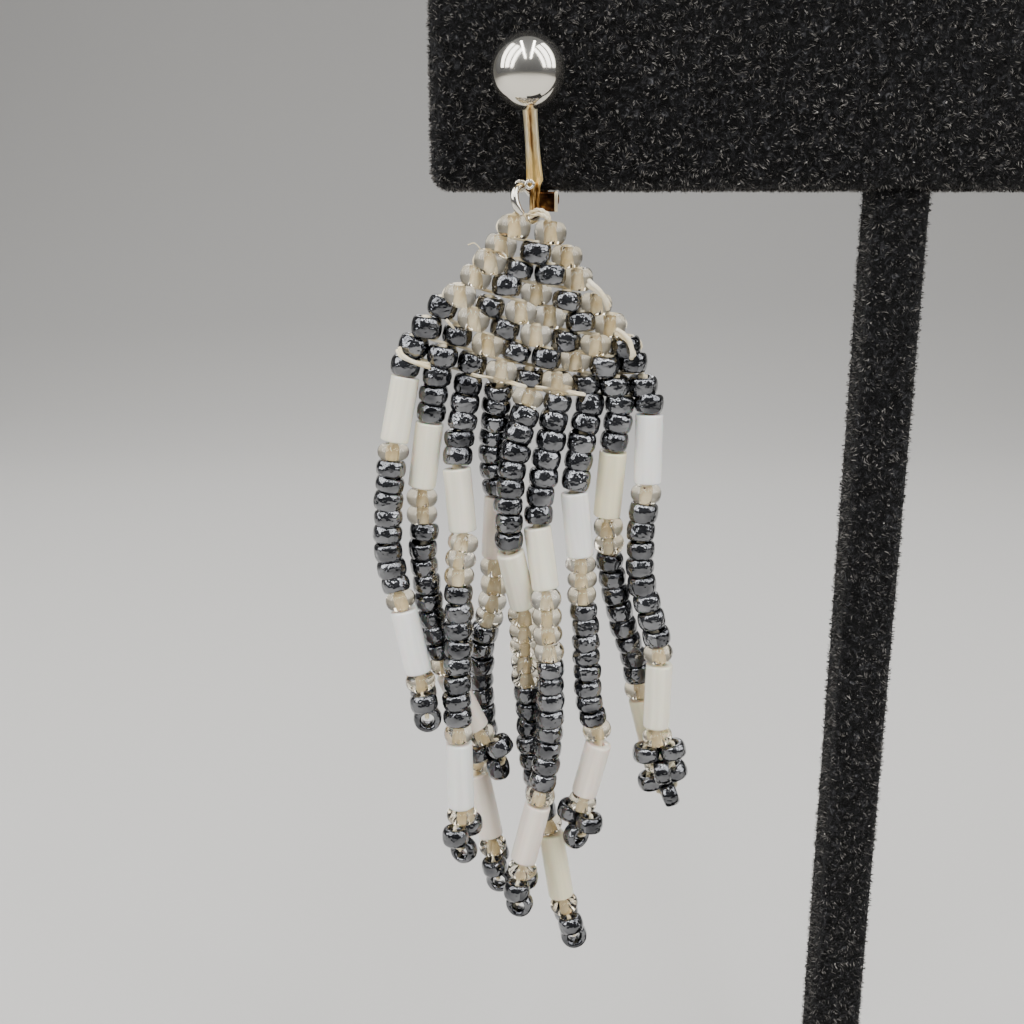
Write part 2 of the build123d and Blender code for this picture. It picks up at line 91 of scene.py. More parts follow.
def clouded(tree, shader, across, detail, stops):
    """A base colour that drifts between tones in soft clouds about so far across."""
    place = add(tree, "ShaderNodeTexCoord")
    clouds = add(
        tree, "ShaderNodeTexNoise", {"Scale": 1 / across, "Detail": detail},
        {"Vector": place.outputs["Object"]},
    )
    shade = add(tree, "ShaderNodeValToRGB", {}, {"Fac": clouds.outputs["Fac"]}, stops)
    tree.links.new(shade.outputs["Color"], shader.inputs["Base Color"])


def piece(name, part, look, body):
    """A mesh object that rides on a body of the frame, from its points, faces and corner uvs."""
    points, faces, uvs = part
    mesh = bpy.data.meshes.new(name)
    mesh.from_pydata(np.asarray(points).tolist(), [], [list(map(int, f)) for f in faces])
    if uvs is not None:
        layer = mesh.uv_layers.new(name="UVMap")
        layer.data.foreach_set("uv", np.asarray(uvs, dtype=np.float32).ravel())
    mesh.polygons.foreach_set("use_smooth", [True] * len(mesh.polygons))
    mesh.materials.append(look)
    mesh.update()
    made = bpy.data.objects.new(name, mesh)
    bpy.context.scene.collection.objects.link(made)
    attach(made, body)
    return made


# Black velvet: a soft dark cloth that eats light face on and glows a little at the turn of an edge.
# Its tufts are about 0.5 mm across; painted shade makes the gaps between them black and painted
# light makes their tops dark grey.
velvet, tree, shader = material(
    "black_velvet",
    {"Roughness": 0.85, "Specular IOR Level": 0.15, "Sheen Weight": 0.06, "Sheen Roughness": 0.4},
)
place = add(tree, "ShaderNodeTexCoord")
tufts = add(
    tree,
    "ShaderNodeTexNoise",
    {"Scale": 1 / (0.5 * MM), "Detail": 5, "Roughness": 0.72, "Distortion": 1.2},
    {"Vector": place.outputs["Object"]},
)
# painted shade and light: the tufts' own height sets the tone, black low in the gaps, grey on top
shade = add(
    tree, "ShaderNodeValToRGB", {}, {"Fac": tufts.outputs["Fac"]},
    [(0.4, "#020202"), (0.52, "#101011"), (0.62, "#343436"), (0.72, "#6c6c6e")],
)
tree.links.new(shade.outputs["Color"], shader.inputs["Base Color"])
rise = add(
    tree, "ShaderNodeBump", {"Strength": 1.0, "Distance": 0.35 * MM}, {"Height": tufts.outputs["Fac"]}
)
tree.links.new(rise.outputs["Normal"], shader.inputs["Normal"])

# Pile: single fibres of the same cloth, most of them charcoal and faintly warm. Painted shade makes
# each nearly black at the root, and painted light makes those on top of a tuft grey specks.
pile, tree, shader = material("velvet_pile", {"Roughness": 0.6, "Specular IOR Level": 0.2})
place = add(tree, "ShaderNodeUVMap", {"uv_map": "UVMap"})
along = add(tree, "ShaderNodeSeparateXYZ", {}, {0: place.outputs["UV"]})
shade = add(
    tree, "ShaderNodeValToRGB", {}, {"Fac": along.outputs["X"]},
    [(0.0, "#030303"), (0.2, "#181716"), (0.5, "#63605d"), (0.78, "#a19d98"), (1.0, "#d2cdc5")],
)
# painted shade: the colour is scaled down from the tip to a fifth of it at the root
tip = add(
    tree, "ShaderNodeMath", {"operation": "MULTIPLY_ADD", 1: 0.8, 2: 0.2}, {0: along.outputs["Y"]}
)
root_shade = add(
    tree, "ShaderNodeVectorMath", {"operation": "SCALE"},
    {0: shade.outputs["Color"], "Scale": tip.outputs[0]},
)
tree.links.new(root_shade.outputs[0], shader.inputs["Base Color"])

# Lint: pale dust and textile fibres, matt and uneven, so that they show as specks on the black.
lint, tree, shader = material("pale_lint", {"Roughness": 0.9})
clouded(tree, shader, 3 * MM, 1, [(0.35, "#6d6b68"), (0.65, "#cfccc6")])


def cushion(node, inset, radius):
    """A box with soft edges that fills a node's own box up to the inset, as a bmesh."""
    low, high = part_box(node)
    made = bmesh.new()
    bmesh.ops.create_cube(made, size=1)
    centre, size = (low + high) / 2, (high - low) - Vector((2 * inset,) * 3)
    for v in made.verts:
        v.co = Vector(c * s for c, s in zip(v.co, size)) + centre
    bmesh.ops.bevel(made, geom=list(made.edges), offset=radius, segments=5, profile=0.5, affect="EDGES")
    bmesh.ops.triangulate(made, faces=list(made.faces))
    return made


# the clip presses the pile flat this far to each side of its strip and of the lever's arm, and
# this far round the middle of the pad behind
CLIP_X, PAD_Z = -26.9 * MM, 106.0 * MM
UNDER_STRIP, UNDER_PAD, PRESSED_SHARE = 1.6 * MM, 2.9 * MM, 0.45
PILE_ROOT, PILE_LENGTH, OFF_FLOOR = 0.02 * MM, 0.42 * MM, 0.02 * MM

# the pile sways in swirls and stands in tufts, each the sum of many waves through the cloth
WAVES = 28
waves, grain = dice.normal(0, 1, (2, WAVES, 3))
waves *= (2 * math.pi / (dice.uniform(0.6, 1.6, WAVES) * MM) / np.linalg.norm(waves, axis=1))[:, None]
grain *= (2 * math.pi / (dice.uniform(0.42, 0.95, WAVES) * MM) / np.linalg.norm(grain, axis=1))[:, None]
swirls = dice.normal(0, 0.3, (WAVES, 3))
phases = dice.uniform(0, 2 * math.pi, WAVES)
for node, radius, fibres, curls in (
    ("stand_base", 1.3 * MM, 80000, 5000),
    ("stand_post", 0.7 * MM, 46000, 4000),
    ("stand_crossbar", 1.3 * MM, 150000, 13000),
):
    board = cushion(node, PILE_ROOT, radius)
    corners = np.array([[v.co[:] for v in f.verts] for f in board.faces])
    normals = np.array([f.normal[:] for f in board.faces])
    areas = np.array([f.calc_area() for f in board.faces])
    wrap = ([v.co for v in board.verts], [[v.index for v in f.verts] for f in board.faces], None)
    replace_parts(piece(f"{node}_velvet", wrap, velvet, "root"), node)
    board.free()

    # each fibre is one thin triangle that leans into its tuft, and those on top of a tuft are long and
    # pale with painted light while those in the gaps are short and dark with painted shade. None grows
    # under the foot plate.
    if node == "stand_base":
        areas[normals[:, 2] < -0.7] = 0
    face = dice.choice(len(areas), fibres, p=areas / areas.sum())
    a, b = dice.random(fibres), dice.random(fibres)
    over = a + b > 1
    a[over], b[over] = 1 - a[over], 1 - b[over]
    root = corners[face, 0] + a[:, None] * (corners[face, 1] - corners[face, 0])
    root += b[:, None] * (corners[face, 2] - corners[face, 0])
    up = normals[face]
    sway = np.sin(root @ waves.T + phases) @ swirls + dice.normal(0, 0.35, (fibres, 3))
    sway -= up * (sway * up).sum(1)[:, None]
    way = up + sway * 0.5
    way /= np.linalg.norm(way, axis=1)[:, None]
    from_clip = root - np.array([CLIP_X, 0, PAD_Z])
    pressed = (np.abs(from_clip[:, 0]) < UNDER_STRIP) & (from_clip[:, 2] < 0)
    pressed |= (np.hypot(from_clip[:, 0], from_clip[:, 2]) < UNDER_PAD) & (root[:, 1] > 0)
    tuft = 1 / (1 + np.exp(-1.2 * np.sin(root @ grain.T + phases).sum(1)))
    length = PILE_LENGTH * (0.4 + 0.6 * tuft) * dice.uniform(0.75, 1.0, fibres)
    length *= np.where(pressed, PRESSED_SHARE, 1)
    tips = root + way * length[:, None]
    tips[:, 2] = tips[:, 2].clip(OFF_FLOOR)
    side = np.cross(way, dice.normal(0, 1, (fibres, 3)))
    side *= (dice.uniform(0.025, 0.045, fibres) * MM / np.linalg.norm(side, axis=1))[:, None]
    points = np.stack([root - side, root + side, tips], 1).reshape(-1, 3)
    faces = np.arange(3 * fibres).reshape(-1, 3)
    # painted light and shade: fibres on top of a tuft are paler, those in its gaps darker, each also at
    # random
    tone = (0.08 + 0.92 * tuft) * dice.random(fibres) ** 0.65
    uvs = np.stack([np.repeat(tone, 3), np.tile([0.0, 0.0, 1.0], fibres)], -1)
    piece(f"{node}_pile", (points, faces, uvs), pile, "root")

    # some fibres have worked loose and lie in short curls over the tufts
    at = dice.choice(fibres, curls, replace=False)
    lift = np.where(pressed[at], 0.06, dice.uniform(0.1, 0.27, curls))[:, None] * MM
    run = np.cross(up[at], dice.normal(0, 1, (curls, 3)))
    run *= (dice.uniform(0.05, 0.12, curls) * MM / np.linalg.norm(run, axis=1))[:, None]
    bend = np.cross(up[at], run) * dice.uniform(-0.9, 0.9, (curls, 1))
    flat = np.cross(run, up[at] + dice.normal(0, 0.5, (curls, 3)))
    flat *= (dice.uniform(0.028, 0.048, curls) * MM / np.linalg.norm(flat, axis=1))[:, None]
    spine = [root[at] + up[at] * lift * 0.4 - run, root[at] + up[at] * lift + bend,
             root[at] + up[at] * lift * 0.4 + run]
    points = np.stack([p + w for p in spine for w in (flat, -flat)], 1)
    points[:, :, 2] = points[:, :, 2].clip(OFF_FLOOR)
    faces = np.arange(curls)[:, None, None] * 6 + np.array([[0, 1, 3, 2], [2, 3, 5, 4]])
    faces = faces.reshape(-1, 4)
    tone = np.repeat(0.62 * dice.random(curls) ** 1.3, 8)
    uvs = np.stack([tone, np.full(len(tone), 0.8)], -1)
    piece(f"{node}_curls", (points.reshape(-1, 3), faces, uvs), pile, "root")

    # lint lies on the pile's tips in short bent bits, one for every 500 fibres
    bits = fibres // 500
    at = dice.choice(fibres, bits, replace=False)
    start = root[at] + up[at] * 0.27 * MM
    points, faces = [], []
    for n in range(bits):
        run = np.cross(up[at[n]], dice.normal(0, 1, 3))
        run *= dice.uniform(0.02, 0.1) * MM / np.linalg.norm(run)
        bend = np.cross(up[at[n]], run) * dice.uniform(-0.6, 0.6)
        thick = up[at[n]] * dice.uniform(0.03, 0.05) * MM
        wide = np.cross(run, up[at[n]]) / np.linalg.norm(run) * dice.uniform(0.02, 0.04) * MM
        spine = [start[n] - run, start[n] + bend, start[n] + run]
        base = len(points)
        points += [p + w for p in spine for w in (wide, thick - wide / 2, -wide)]
        for k in (0, 3):
            for i in range(3):
                j = (i + 1) % 3
                faces.append((base + k + i, base + k + j, base + k + 3 + j, base + k + 3 + i))
    piece(f"{node}_lint", (points, faces, None), lint, "root")


# Clip front: a polished hollow ball soldered to a narrow channelled strip of plated brass, whose
# foot goes on as a tab with the hinge's bracket beside it. A rolled rivet and a little wire eye at
# the strip's edge take the jump ring.
def turned(outline, sides):
    """Points, faces and corner uvs in millimetres of a ring turned about Z from a closed outline."""
    outline = np.asarray(outline, float)
    count = len(outline)
    turn = np.arange(sides) * 2 * math.pi / sides
    points = np.stack(
        [np.outer(np.cos(turn), outline[:, 0]), np.outer(np.sin(turn), outline[:, 0]),
         np.tile(outline[:, 1], (sides, 1))], -1,
    ).reshape(-1, 3)
    i, j = np.meshgrid(np.arange(sides), np.arange(count), indexing="ij")
    i2, j2 = (i + 1) % sides, (j + 1) % count
    faces = np.stack([i * count + j, i2 * count + j, i2 * count + j2, i * count + j2], -1)
    around = 2 * math.pi * outline[:, 0].max() / MM
    u = np.stack([i, i + 1, i + 1, i], -1) / sides * around
    v = outline[np.stack([j, j, j2, j2], -1), 1] / MM
    return points, faces.reshape(-1, 4), np.stack([u, v], -1).reshape(-1, 2)


def distances(line):
    """How far along a line each of its points lies."""
    return np.concatenate([[0], np.cumsum(np.linalg.norm(np.diff(line, axis=0), axis=1))])


def swept(path, section):
    """Points, faces and corner uvs of a closed section carried along a path, its ends closed.

    A section is a list of (across, up) points, or one such list for each place on the path."""
    path = np.asarray(path, float)
    ahead = np.gradient(path, axis=0)
    ahead /= np.linalg.norm(ahead, axis=1)[:, None]
    start = np.array([0.0, 1.0, 0.0]) if abs(ahead[0][1]) < 0.8 else np.array([0.0, 0.0, 1.0])
    ups = [start - ahead[0] * (start @ ahead[0])]
    for way in ahead[1:]:
        ups.append(ups[-1] - way * (ups[-1] @ way))
    ups = np.asarray(ups, float)
    ups /= np.linalg.norm(ups, axis=1)[:, None]
    across = np.cross(ups, ahead)
    section = np.asarray(section, float)
    if section.ndim == 2:
        section = np.tile(section, (len(path), 1, 1))
    points = path[:, None] + across[:, None] * section[..., :1] + ups[:, None] * section[..., 1:]
    rows, count = section.shape[:2]
    i, j = np.meshgrid(np.arange(rows - 1), np.arange(count), indexing="ij")
    j2 = (j + 1) % count
    faces = np.stack([i * count + j, i * count + j2, (i + 1) * count + j2, (i + 1) * count + j], -1)
    run = distances(path) / MM
    uvs = np.stack([np.stack([j, j + 1, j + 1, j], -1) / count,
                    np.stack([run[i], run[i], run[i + 1], run[i + 1]], -1)], -1)
    faces = faces.reshape(-1, 4).tolist()
    uvs = uvs.reshape(-1, 2).tolist()
    for row, order in ((0, range(count - 1, -1, -1)), (rows - 1, range(count))):
        faces.append([row * count + k for k in order])
        uvs += [[k / count, run[row]] for k in order]
    return points.reshape(-1, 3), faces, uvs


def joined(parts):
    """Several lots of points, faces and uvs as one."""
    points, faces, uvs, base = [], [], [], 0
    for p, f, u in parts:
        points.append(np.asarray(p, float))
        faces += [[int(k) + base for k in face] for face in f]
        uvs.append(np.asarray(u, float).reshape(-1, 2))
        base += len(p)
    return np.concatenate(points), faces, np.concatenate(uvs)


def moved(part, at, way=(0, 0, 1), squash=1.0):
    """A part made about Z, turned so that Z is the given way, thinned along it and put in place."""
    points, faces, uvs = part
    turn = np.array(Vector((0, 0, 1)).rotation_difference(Vector(way)).to_matrix())
    return (points * np.array([1, 1, squash])) @ turn.T + np.asarray(at), faces, uvs


def circle(radius, sides):
    """A round section."""
    turn = np.arange(sides) * 2 * math.pi / sides
    return np.stack([radius * np.cos(turn), radius * np.sin(turn)], -1)


def domed(radius, steps, sides):
    """A ball about the origin, as circles swept from pole to pole."""
    tilts = np.radians(np.linspace(-88, 88, steps))
    path = np.stack([0 * tilts, 0 * tilts, radius * np.sin(tilts)], -1)
    return swept(path, [circle(radius * math.cos(t), sides) for t in tilts])


def slab(width, thick, square):
    """A flat section with rounded edges, the squarer the smaller its last value is."""
    turn = np.arange(24) * 2 * math.pi / 24
    x = np.sign(np.cos(turn)) * np.abs(np.cos(turn)) ** square
    y = np.sign(np.sin(turn)) * np.abs(np.sin(turn)) ** square * thick / 2
    return np.stack([x * width / 2, y], -1)


def channel(width, thick, count=22):
    """A flat-backed section whose front has two round rims and a hollow between them."""
    x = np.linspace(-1, 1, count)
    front = -thick / 2 * (0.15 + 0.85 * np.sin(math.pi * np.abs(x) ** 1.6) ** 2)
    back = np.stack([x[::-1], np.full(count, thick / 2)], -1)
    return np.vstack([np.stack([x, front], -1), back]) * np.array([width / 2, 1])


def block(low, high, edge):
    """A box with softened edges, its two corners and its edges' radius given in millimetres."""
    low, high = np.array(low) * MM, np.array(high) * MM
    made = bmesh.new()
    bmesh.ops.create_cube(made, size=1)
    for v in made.verts:
        v.co = Vector((low[k] + high[k]) / 2 + v.co[k] * (high[k] - low[k]) for k in range(3))
    bmesh.ops.bevel(
        made, geom=list(made.edges), offset=edge * MM, segments=3, profile=0.5, affect="EDGES"
    )
    made.verts.index_update()
    part = ([v.co[:] for v in made.verts], [[v.index for v in f.verts] for f in made.faces],
            [(0, 0) for f in made.faces for v in f.verts])
    made.free()
    return part


# Polished silver plating: a clean mirror, faintly warm, with smudges a few millimetres across and
# a thin haze from handling, which keeps its rim light against the black cloth.
silver, tree, shader = material(
    "polished_silver",
    {"Base Color": linear("#e6e1d4"), "Metallic": 1.0, "Coat Weight": 0.6, "Coat Roughness": 0.45},
)
place = add(tree, "ShaderNodeTexCoord")
smudge = add(
    tree, "ShaderNodeTexNoise", {"Scale": 1 / (2.5 * MM), "Detail": 3}, {"Vector": place.outputs["Object"]}
)
dull = add(
    tree, "ShaderNodeMapRange", {"From Min": 0.4, "From Max": 0.7, "To Min": 0.05, "To Max": 0.16},
    {"Value": smudge.outputs["Fac"]},
)
tree.links.new(dull.outputs[0], shader.inputs["Roughness"])

# Worn gold plating on a channelled strip: its rims are paler, partly rubbed pale and partly painted
# highlight, and the hollow between them is brown-gold in streaks, partly stain and partly painted shade.
# The last two millimetres before the foot carry painted highlights as bright gold patches, and the tab
# below the foot is dark brown with bright gold clouds that are painted glints. u runs round the strip,
# v down it in mm.
gold, tree, shader = material("worn_gold_plating", {"Metallic": 1.0, "Roughness": 0.36})
place = add(tree, "ShaderNodeUVMap", {"uv_map": "UVMap"})
along = add(tree, "ShaderNodeSeparateXYZ", {}, {0: place.outputs["UV"]})
off = add(tree, "ShaderNodeMath", {"operation": "SUBTRACT", 1: 0.25}, {0: along.outputs["X"]})
from_hollow = add(tree, "ShaderNodeMath", {"operation": "ABSOLUTE"}, {0: off.outputs[0]})
stretch = add(
    tree, "ShaderNodeMapping", {"Scale": (9.0, 0.8, 1.0)}, {"Vector": place.outputs["UV"]}
)
plating_noise = add(
    tree, "ShaderNodeTexNoise", {"Scale": 1.0, "Detail": 4}, {"Vector": stretch.outputs["Vector"]}
)
uneven = add(
    tree, "ShaderNodeMath", {"operation": "MULTIPLY_ADD", 1: 0.4},
    {0: plating_noise.outputs["Fac"], 2: from_hollow.outputs[0]},
)
# rims paler and hollow browner: partly wear and stain, partly painted highlight and painted shade
across = add(
    tree, "ShaderNodeValToRGB", {}, {"Fac": uneven.outputs[0]},
    [(0.17, "#94693b"), (0.25, "#d3b07a"), (0.31, "#efd9a6"), (0.39, "#f9ecca")],
)
# painted highlight: bright gold patches over the last two millimetres before the foot
lengthwise = add(
    tree, "ShaderNodeMapRange", {"From Min": 4.9, "From Max": 6.6, "To Max": 1.6},
    {"Value": along.outputs["Y"]},
)
highlight_patches = add(
    tree, "ShaderNodeMath", {"operation": "MULTIPLY", "use_clamp": True},
    {0: lengthwise.outputs[0], 1: plating_noise.outputs["Fac"]},
)
foot_highlight = add(
    tree, "ShaderNodeMix", {"data_type": "RGBA", 7: linear("#ffd884")},
    {0: highlight_patches.outputs[0], 6: across.outputs["Color"]},
)
# the tab is dark brown with bright gold clouds, which are painted glints
tab_brown_and_glints = add(
    tree, "ShaderNodeValToRGB", {}, {"Fac": plating_noise.outputs["Fac"]},
    [(0.42, "#5f3f20"), (0.5, "#a87b40"), (0.58, "#f2cf8a")],
)
on_tab = add(
    tree, "ShaderNodeMapRange", {"From Min": 7.62, "From Max": 7.9}, {"Value": along.outputs["Y"]}
)
blend = add(
    tree, "ShaderNodeMix", {"data_type": "RGBA"},
    {0: on_tab.outputs[0], 6: foot_highlight.outputs[2], 7: tab_brown_and_glints.outputs["Color"]},
)
tree.links.new(blend.outputs[2], shader.inputs["Base Color"])

# Shaded gold: the bracket and pin, painted in shade as dark brown, with gold clouds as painted glints.
shaded_gold, tree, shader = material("shaded_brown_gold", {"Metallic": 1.0, "Roughness": 0.2})
# painted shade and glints: dark brown clouds with bright gold ones among them
clouded(tree, shader, 0.8 * MM, 4, [(0.4, "#2a1a10"), (0.54, "#6b4424"), (0.68, "#cc9f58")])

# Handled gold: the plating of the back lever is whole, but skin has dulled it and deepened it in
# soft clouds a couple of millimetres across.
handled_gold, tree, shader = material("handled_gold", {"Metallic": 1.0, "Roughness": 0.24})
clouded(tree, shader, 2.2 * MM, 2, [(0.35, "#bb8c50"), (0.65, "#e9cc90")])

low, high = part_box("clip_front")
half_wide = (high.x - low.x) / 2
ball = np.array([(low.x + high.x) / 2, low.y + half_wide, high.z - half_wide])
BALL_RADIUS = 2.58 * MM
shown = piece("clip_ball", moved(domed(BALL_RADIUS, 40, 72), ball), silver, "root")
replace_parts(shown, "clip_front")

# the strip narrows to its waist, then spreads to the foot, from which a narrow tab goes on down.
# Its foot stands a little to the right of the ball's middle. The widths are in millimetres.
STRIP_THICK, FOOT_RIGHT, FOOT_Z = 0.45 * MM, 0.55 * MM, 98.7 * MM
TOP_WIDTH, TAPER, FLARE = 1.34, -1.2, 1.1
clip_y = -3.345 * MM
foot = np.array([ball[0] + FOOT_RIGHT, clip_y, FOOT_Z])
top = np.array([ball[0], clip_y, ball[2]])
path, sections = [], []
for t in np.linspace(0, 1, 26):
    path.append(top + (foot - top) * t)
    sections.append(channel((TOP_WIDTH + TAPER * t + FLARE * t * t) * MM, STRIP_THICK))
for drop, width in (
    (0.12, 1.1), (0.25, 0.95), (0.45, 0.84), (1.0, 0.76), (1.6, 0.76), (2.1, 0.74), (2.2, 0.6),
):
    path.append(foot - np.array([0, 0, drop * MM]))
    sections.append(channel(width * MM, STRIP_THICK * 0.9))
solder = moved(domed(0.5 * MM, 12, 24), ball + np.array([0.1, 1.75, -2.0]) * MM, (0, 1, 0), 0.7)
# painted light: the bracket's outer ear is a lit copy in the strip's bright gold
lit_outer_ear = block((-25.82, -3.5, 96.45), (-25.56, -0.82, 97.9), 0.1)
piece("clip_strip", joined([swept(path, sections), solder, lit_outer_ear]), gold, "root")

rivet = moved(
    turned([(0.14 * MM, 0.0), (0.36 * MM, 0.0), (0.4 * MM, 0.08 * MM), (0.36 * MM, 0.22 * MM),
            (0.27 * MM, 0.28 * MM), (0.18 * MM, 0.22 * MM), (0.14 * MM, 0.1 * MM)], 28),
    [-27.62 * MM, clip_y - 0.2 * MM, 98.4 * MM], (0, -1, 0),
)
eye_at = np.array([-28.28 * MM, clip_y, 98.284 * MM])
eye = moved(turned(circle(0.09 * MM, 14) + np.array([0.38 * MM, 0]), 36), eye_at, (0, 1, 0))
piece("clip_eye_and_rivet", joined([rivet, eye]), silver, "root")

# the bracket is one folded piece, a plate behind the tab with an ear at each side. The outer ear above
# is drawn with the strip in its pale gold as painted light, a lit copy of the shaded bracket.
bracket = joined([
    block((-27.3, -3.345, 96.45), (-25.66, -2.76, 97.88), 0.14),
    block((-27.3, -2.9, 96.6), (-26.94, -0.82, 97.88), 0.1),
])
piece("clip_bracket", bracket, shaded_gold, "root")

# Hinge pin: brass wire through both ears, its ends set to flat domed heads.
low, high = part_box("clip_pin")
middle = (low + high) / 2
reach = (high.x - low.x) / 2
path, sections = [], []
for share, radius in (
    (-1, 0.24), (-0.98, 0.33), (-0.93, 0.37), (-0.88, 0.37), (-0.86, 0.22),
    (0.86, 0.22), (0.88, 0.37), (0.93, 0.37), (0.98, 0.33), (1, 0.24),
):
    path.append((middle.x + share * reach, middle.y, middle.z))
    sections.append(circle(radius * MM, 24))
# painted shade: the pin takes the bracket's shaded gold
shown = piece("clip_pin_wire", swept(path, sections), shaded_gold, "root")
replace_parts(shown, "clip_pin")

# Back lever: the same thin strip rolled round the pin, bent up behind the bar and widened towards
# the round pad that presses on the lobe.
pin = np.array([middle.x, middle.y, middle.z])
low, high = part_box("clip_lever")
arm_thick, bend = 0.42 * MM, 1.09 * MM
BARREL_RADIUS, PAD_RADIUS, WIDENS_FROM = 0.525 * MM, 2.8 * MM, 99.3 * MM
arm_low = pin[2] - BARREL_RADIUS + arm_thick / 2
arm_back = high.y - arm_thick / 2
path = [(pin[0], y, arm_low) for y in np.linspace(pin[1], arm_back - bend, 12)]
for a in np.radians(np.linspace(-80, 0, 9)):
    path.append((pin[0], arm_back - bend + bend * math.cos(a), arm_low + bend + bend * math.sin(a)))
pad_z = high.z - PAD_RADIUS
path += [(pin[0], arm_back, z) for z in np.linspace(arm_low + bend + 0.4 * MM, pad_z - 0.05 * MM, 20)]
path.append((pin[0], arm_back, pad_z))
sections = []
for _, _, z in path:
    share = max(0, (z - WIDENS_FROM) / (pad_z - WIDENS_FROM))
    sections.append(slab((0.78 + 1.42 * share) * MM, arm_thick, 0.35))
sections[-1] *= 0.8
arm = swept(path, sections)
barrel = turned([(0.25 * MM, -0.39 * MM), (0.5 * MM, -0.39 * MM), (BARREL_RADIUS, -0.35 * MM),
                 (BARREL_RADIUS, 0.35 * MM), (0.5 * MM, 0.39 * MM), (0.25 * MM, 0.39 * MM)], 32)
barrel = moved(barrel, pin, (1, 0, 0))
path = [(pin[0], high.y - (0.42 + back) * MM, pad_z) for back in (0.7, 0.64, 0.52, 0.2, 0.08, 0.0)]
pad = swept(path, [circle(r * MM, 56) for r in (2.5, 2.7, 2.8, 2.8, 2.7, 2.5)])
shown = piece("clip_lever_strip", joined([arm, barrel, pad]), handled_gold, "lever")
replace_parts(shown, "clip_lever")

# Jump ring: silver-plated round wire, cut once and never quite closed, low at the front.
ring_radius, ring_wire = 1.3 * MM, 0.3 * MM
lean, twist = math.radians(18), math.radians(35)
CUT_END, WIRE_TURN = 239, 338
ring_up = np.array([-math.sin(lean), 0, math.cos(lean)])
ring_back = np.array([math.sin(twist), math.cos(twist), 0])
low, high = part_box("jump_ring")
ring_at = np.array((low + high) / 2)
ring_at[1] = clip_y
turn = np.radians(np.linspace(CUT_END, CUT_END + WIRE_TURN, 64))
path = ring_at + ring_radius * (np.outer(np.cos(turn), ring_back) + np.outer(np.sin(turn), ring_up))
shown = piece("jump_ring_wire", swept(path, circle(ring_wire, 16)), silver, "root")
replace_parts(shown, "jump_ring")


# Seed beads: short pieces of drawn glass tube, tumbled hot until they are round, so no two are
# quite alike. Dark ones carry a metallic hematite coat and clear ones show the thread inside.
def bead(at, way, radius, length, bore=0.4 * MM, squareness=0.85):
    """One round bead with its hole along the given way, a little thicker on one side."""
    turn = np.arange(20) * 2 * math.pi / 20
    wall = (radius - bore) / 2
    outline = np.stack([
        radius - wall + wall * np.sign(np.cos(turn)) * np.abs(np.cos(turn)) ** squareness,
        length / 2 * np.sign(np.sin(turn)) * np.abs(np.sin(turn)) ** squareness,
    ], -1)
    points, faces, uvs = turned(outline, 30)
    thick_side = dice.uniform(0, 2 * math.pi)
    lopsided = (points[:, 0] * math.cos(thick_side) + points[:, 1] * math.sin(thick_side)) / radius
    points[:, 2] *= 1 + dice.uniform(0, 0.1) * (lopsided - 1)
    points, faces, uvs = moved((points, faces, uvs), at, way)
    return points, faces, uvs + dice.uniform(0, 500, 2)


def clear_bead(at, way, length):
    """A clear bead, larger and rounder than the dark ones, its bore filled by the thread."""
    return bead(at, way, dice.uniform(1.17, 1.23) * MM, length, 0.22 * MM, 1.0)


def strayed(way, degrees):
    """A way that is off by about so many degrees."""
    way = np.asarray(way) / np.linalg.norm(way)
    off = np.cross(way, dice.normal(0, 1, 3))
    return way + off * math.tan(math.radians(degrees)) * 0.6


# Hematite coat: a gunmetal mirror under the glass's own gloss, fired a little wavy over less than a
# millimetre, so that each bead breaks the bright windows into crooked bars.
hematite, tree, shader = material(
    "hematite_glass", {"Metallic": 1.0, "Roughness": 0.1, "Coat Weight": 0.7, "Coat Roughness": 0.04}
)
place = add(tree, "ShaderNodeUVMap", {"uv_map": "UVMap"})
tone = add(
    tree, "ShaderNodeTexNoise", {"Scale": 0.35, "Detail": 3}, {"Vector": place.outputs["UV"]}
)
shade = add(
    tree, "ShaderNodeValToRGB", {}, {"Fac": tone.outputs["Fac"]}, [(0.33, "#35363a"), (0.67, "#838487")]
)
tree.links.new(shade.outputs["Color"], shader.inputs["Base Color"])
place = add(tree, "ShaderNodeTexCoord")
ripple = add(
    tree, "ShaderNodeTexNoise", {"Scale": 1 / (0.55 * MM), "Detail": 1.6}, {"Vector": place.outputs["Object"]}
)
rise = add(
    tree, "ShaderNodeBump", {"Strength": 0.9, "Distance": 0.19 * MM}, {"Height": ripple.outputs["Fac"]}
)
tree.links.new(rise.outputs["Normal"], shader.inputs["Normal"])
tree.links.new(rise.outputs["Normal"], shader.inputs["Coat Normal"])

# Clear glass: nearly colourless, faintly straw coloured in places, so that it bends the light round
# the cream thread in its bore. Tumbling has left its skin a little soft.
clear_glass, tree, shader = material(
    "clear_glass", {"Roughness": 0.06, "IOR": 1.5, "Transmission Weight": 1.0}
)
clouded(tree, shader, 4 * MM, 1, [(0.35, "#faf5e8"), (0.65, "#f2e5c8")])

# Beading thread: waxed cream nylon, soft and matt, darker where the wax has taken up dirt.
cream, tree, shader = material("cream_thread", {"Roughness": 0.6, "Sheen Weight": 0.2})
clouded(tree, shader, 0.9 * MM, 3, [(0.34, "#ecd8aa"), (0.62, "#fff4d9")])

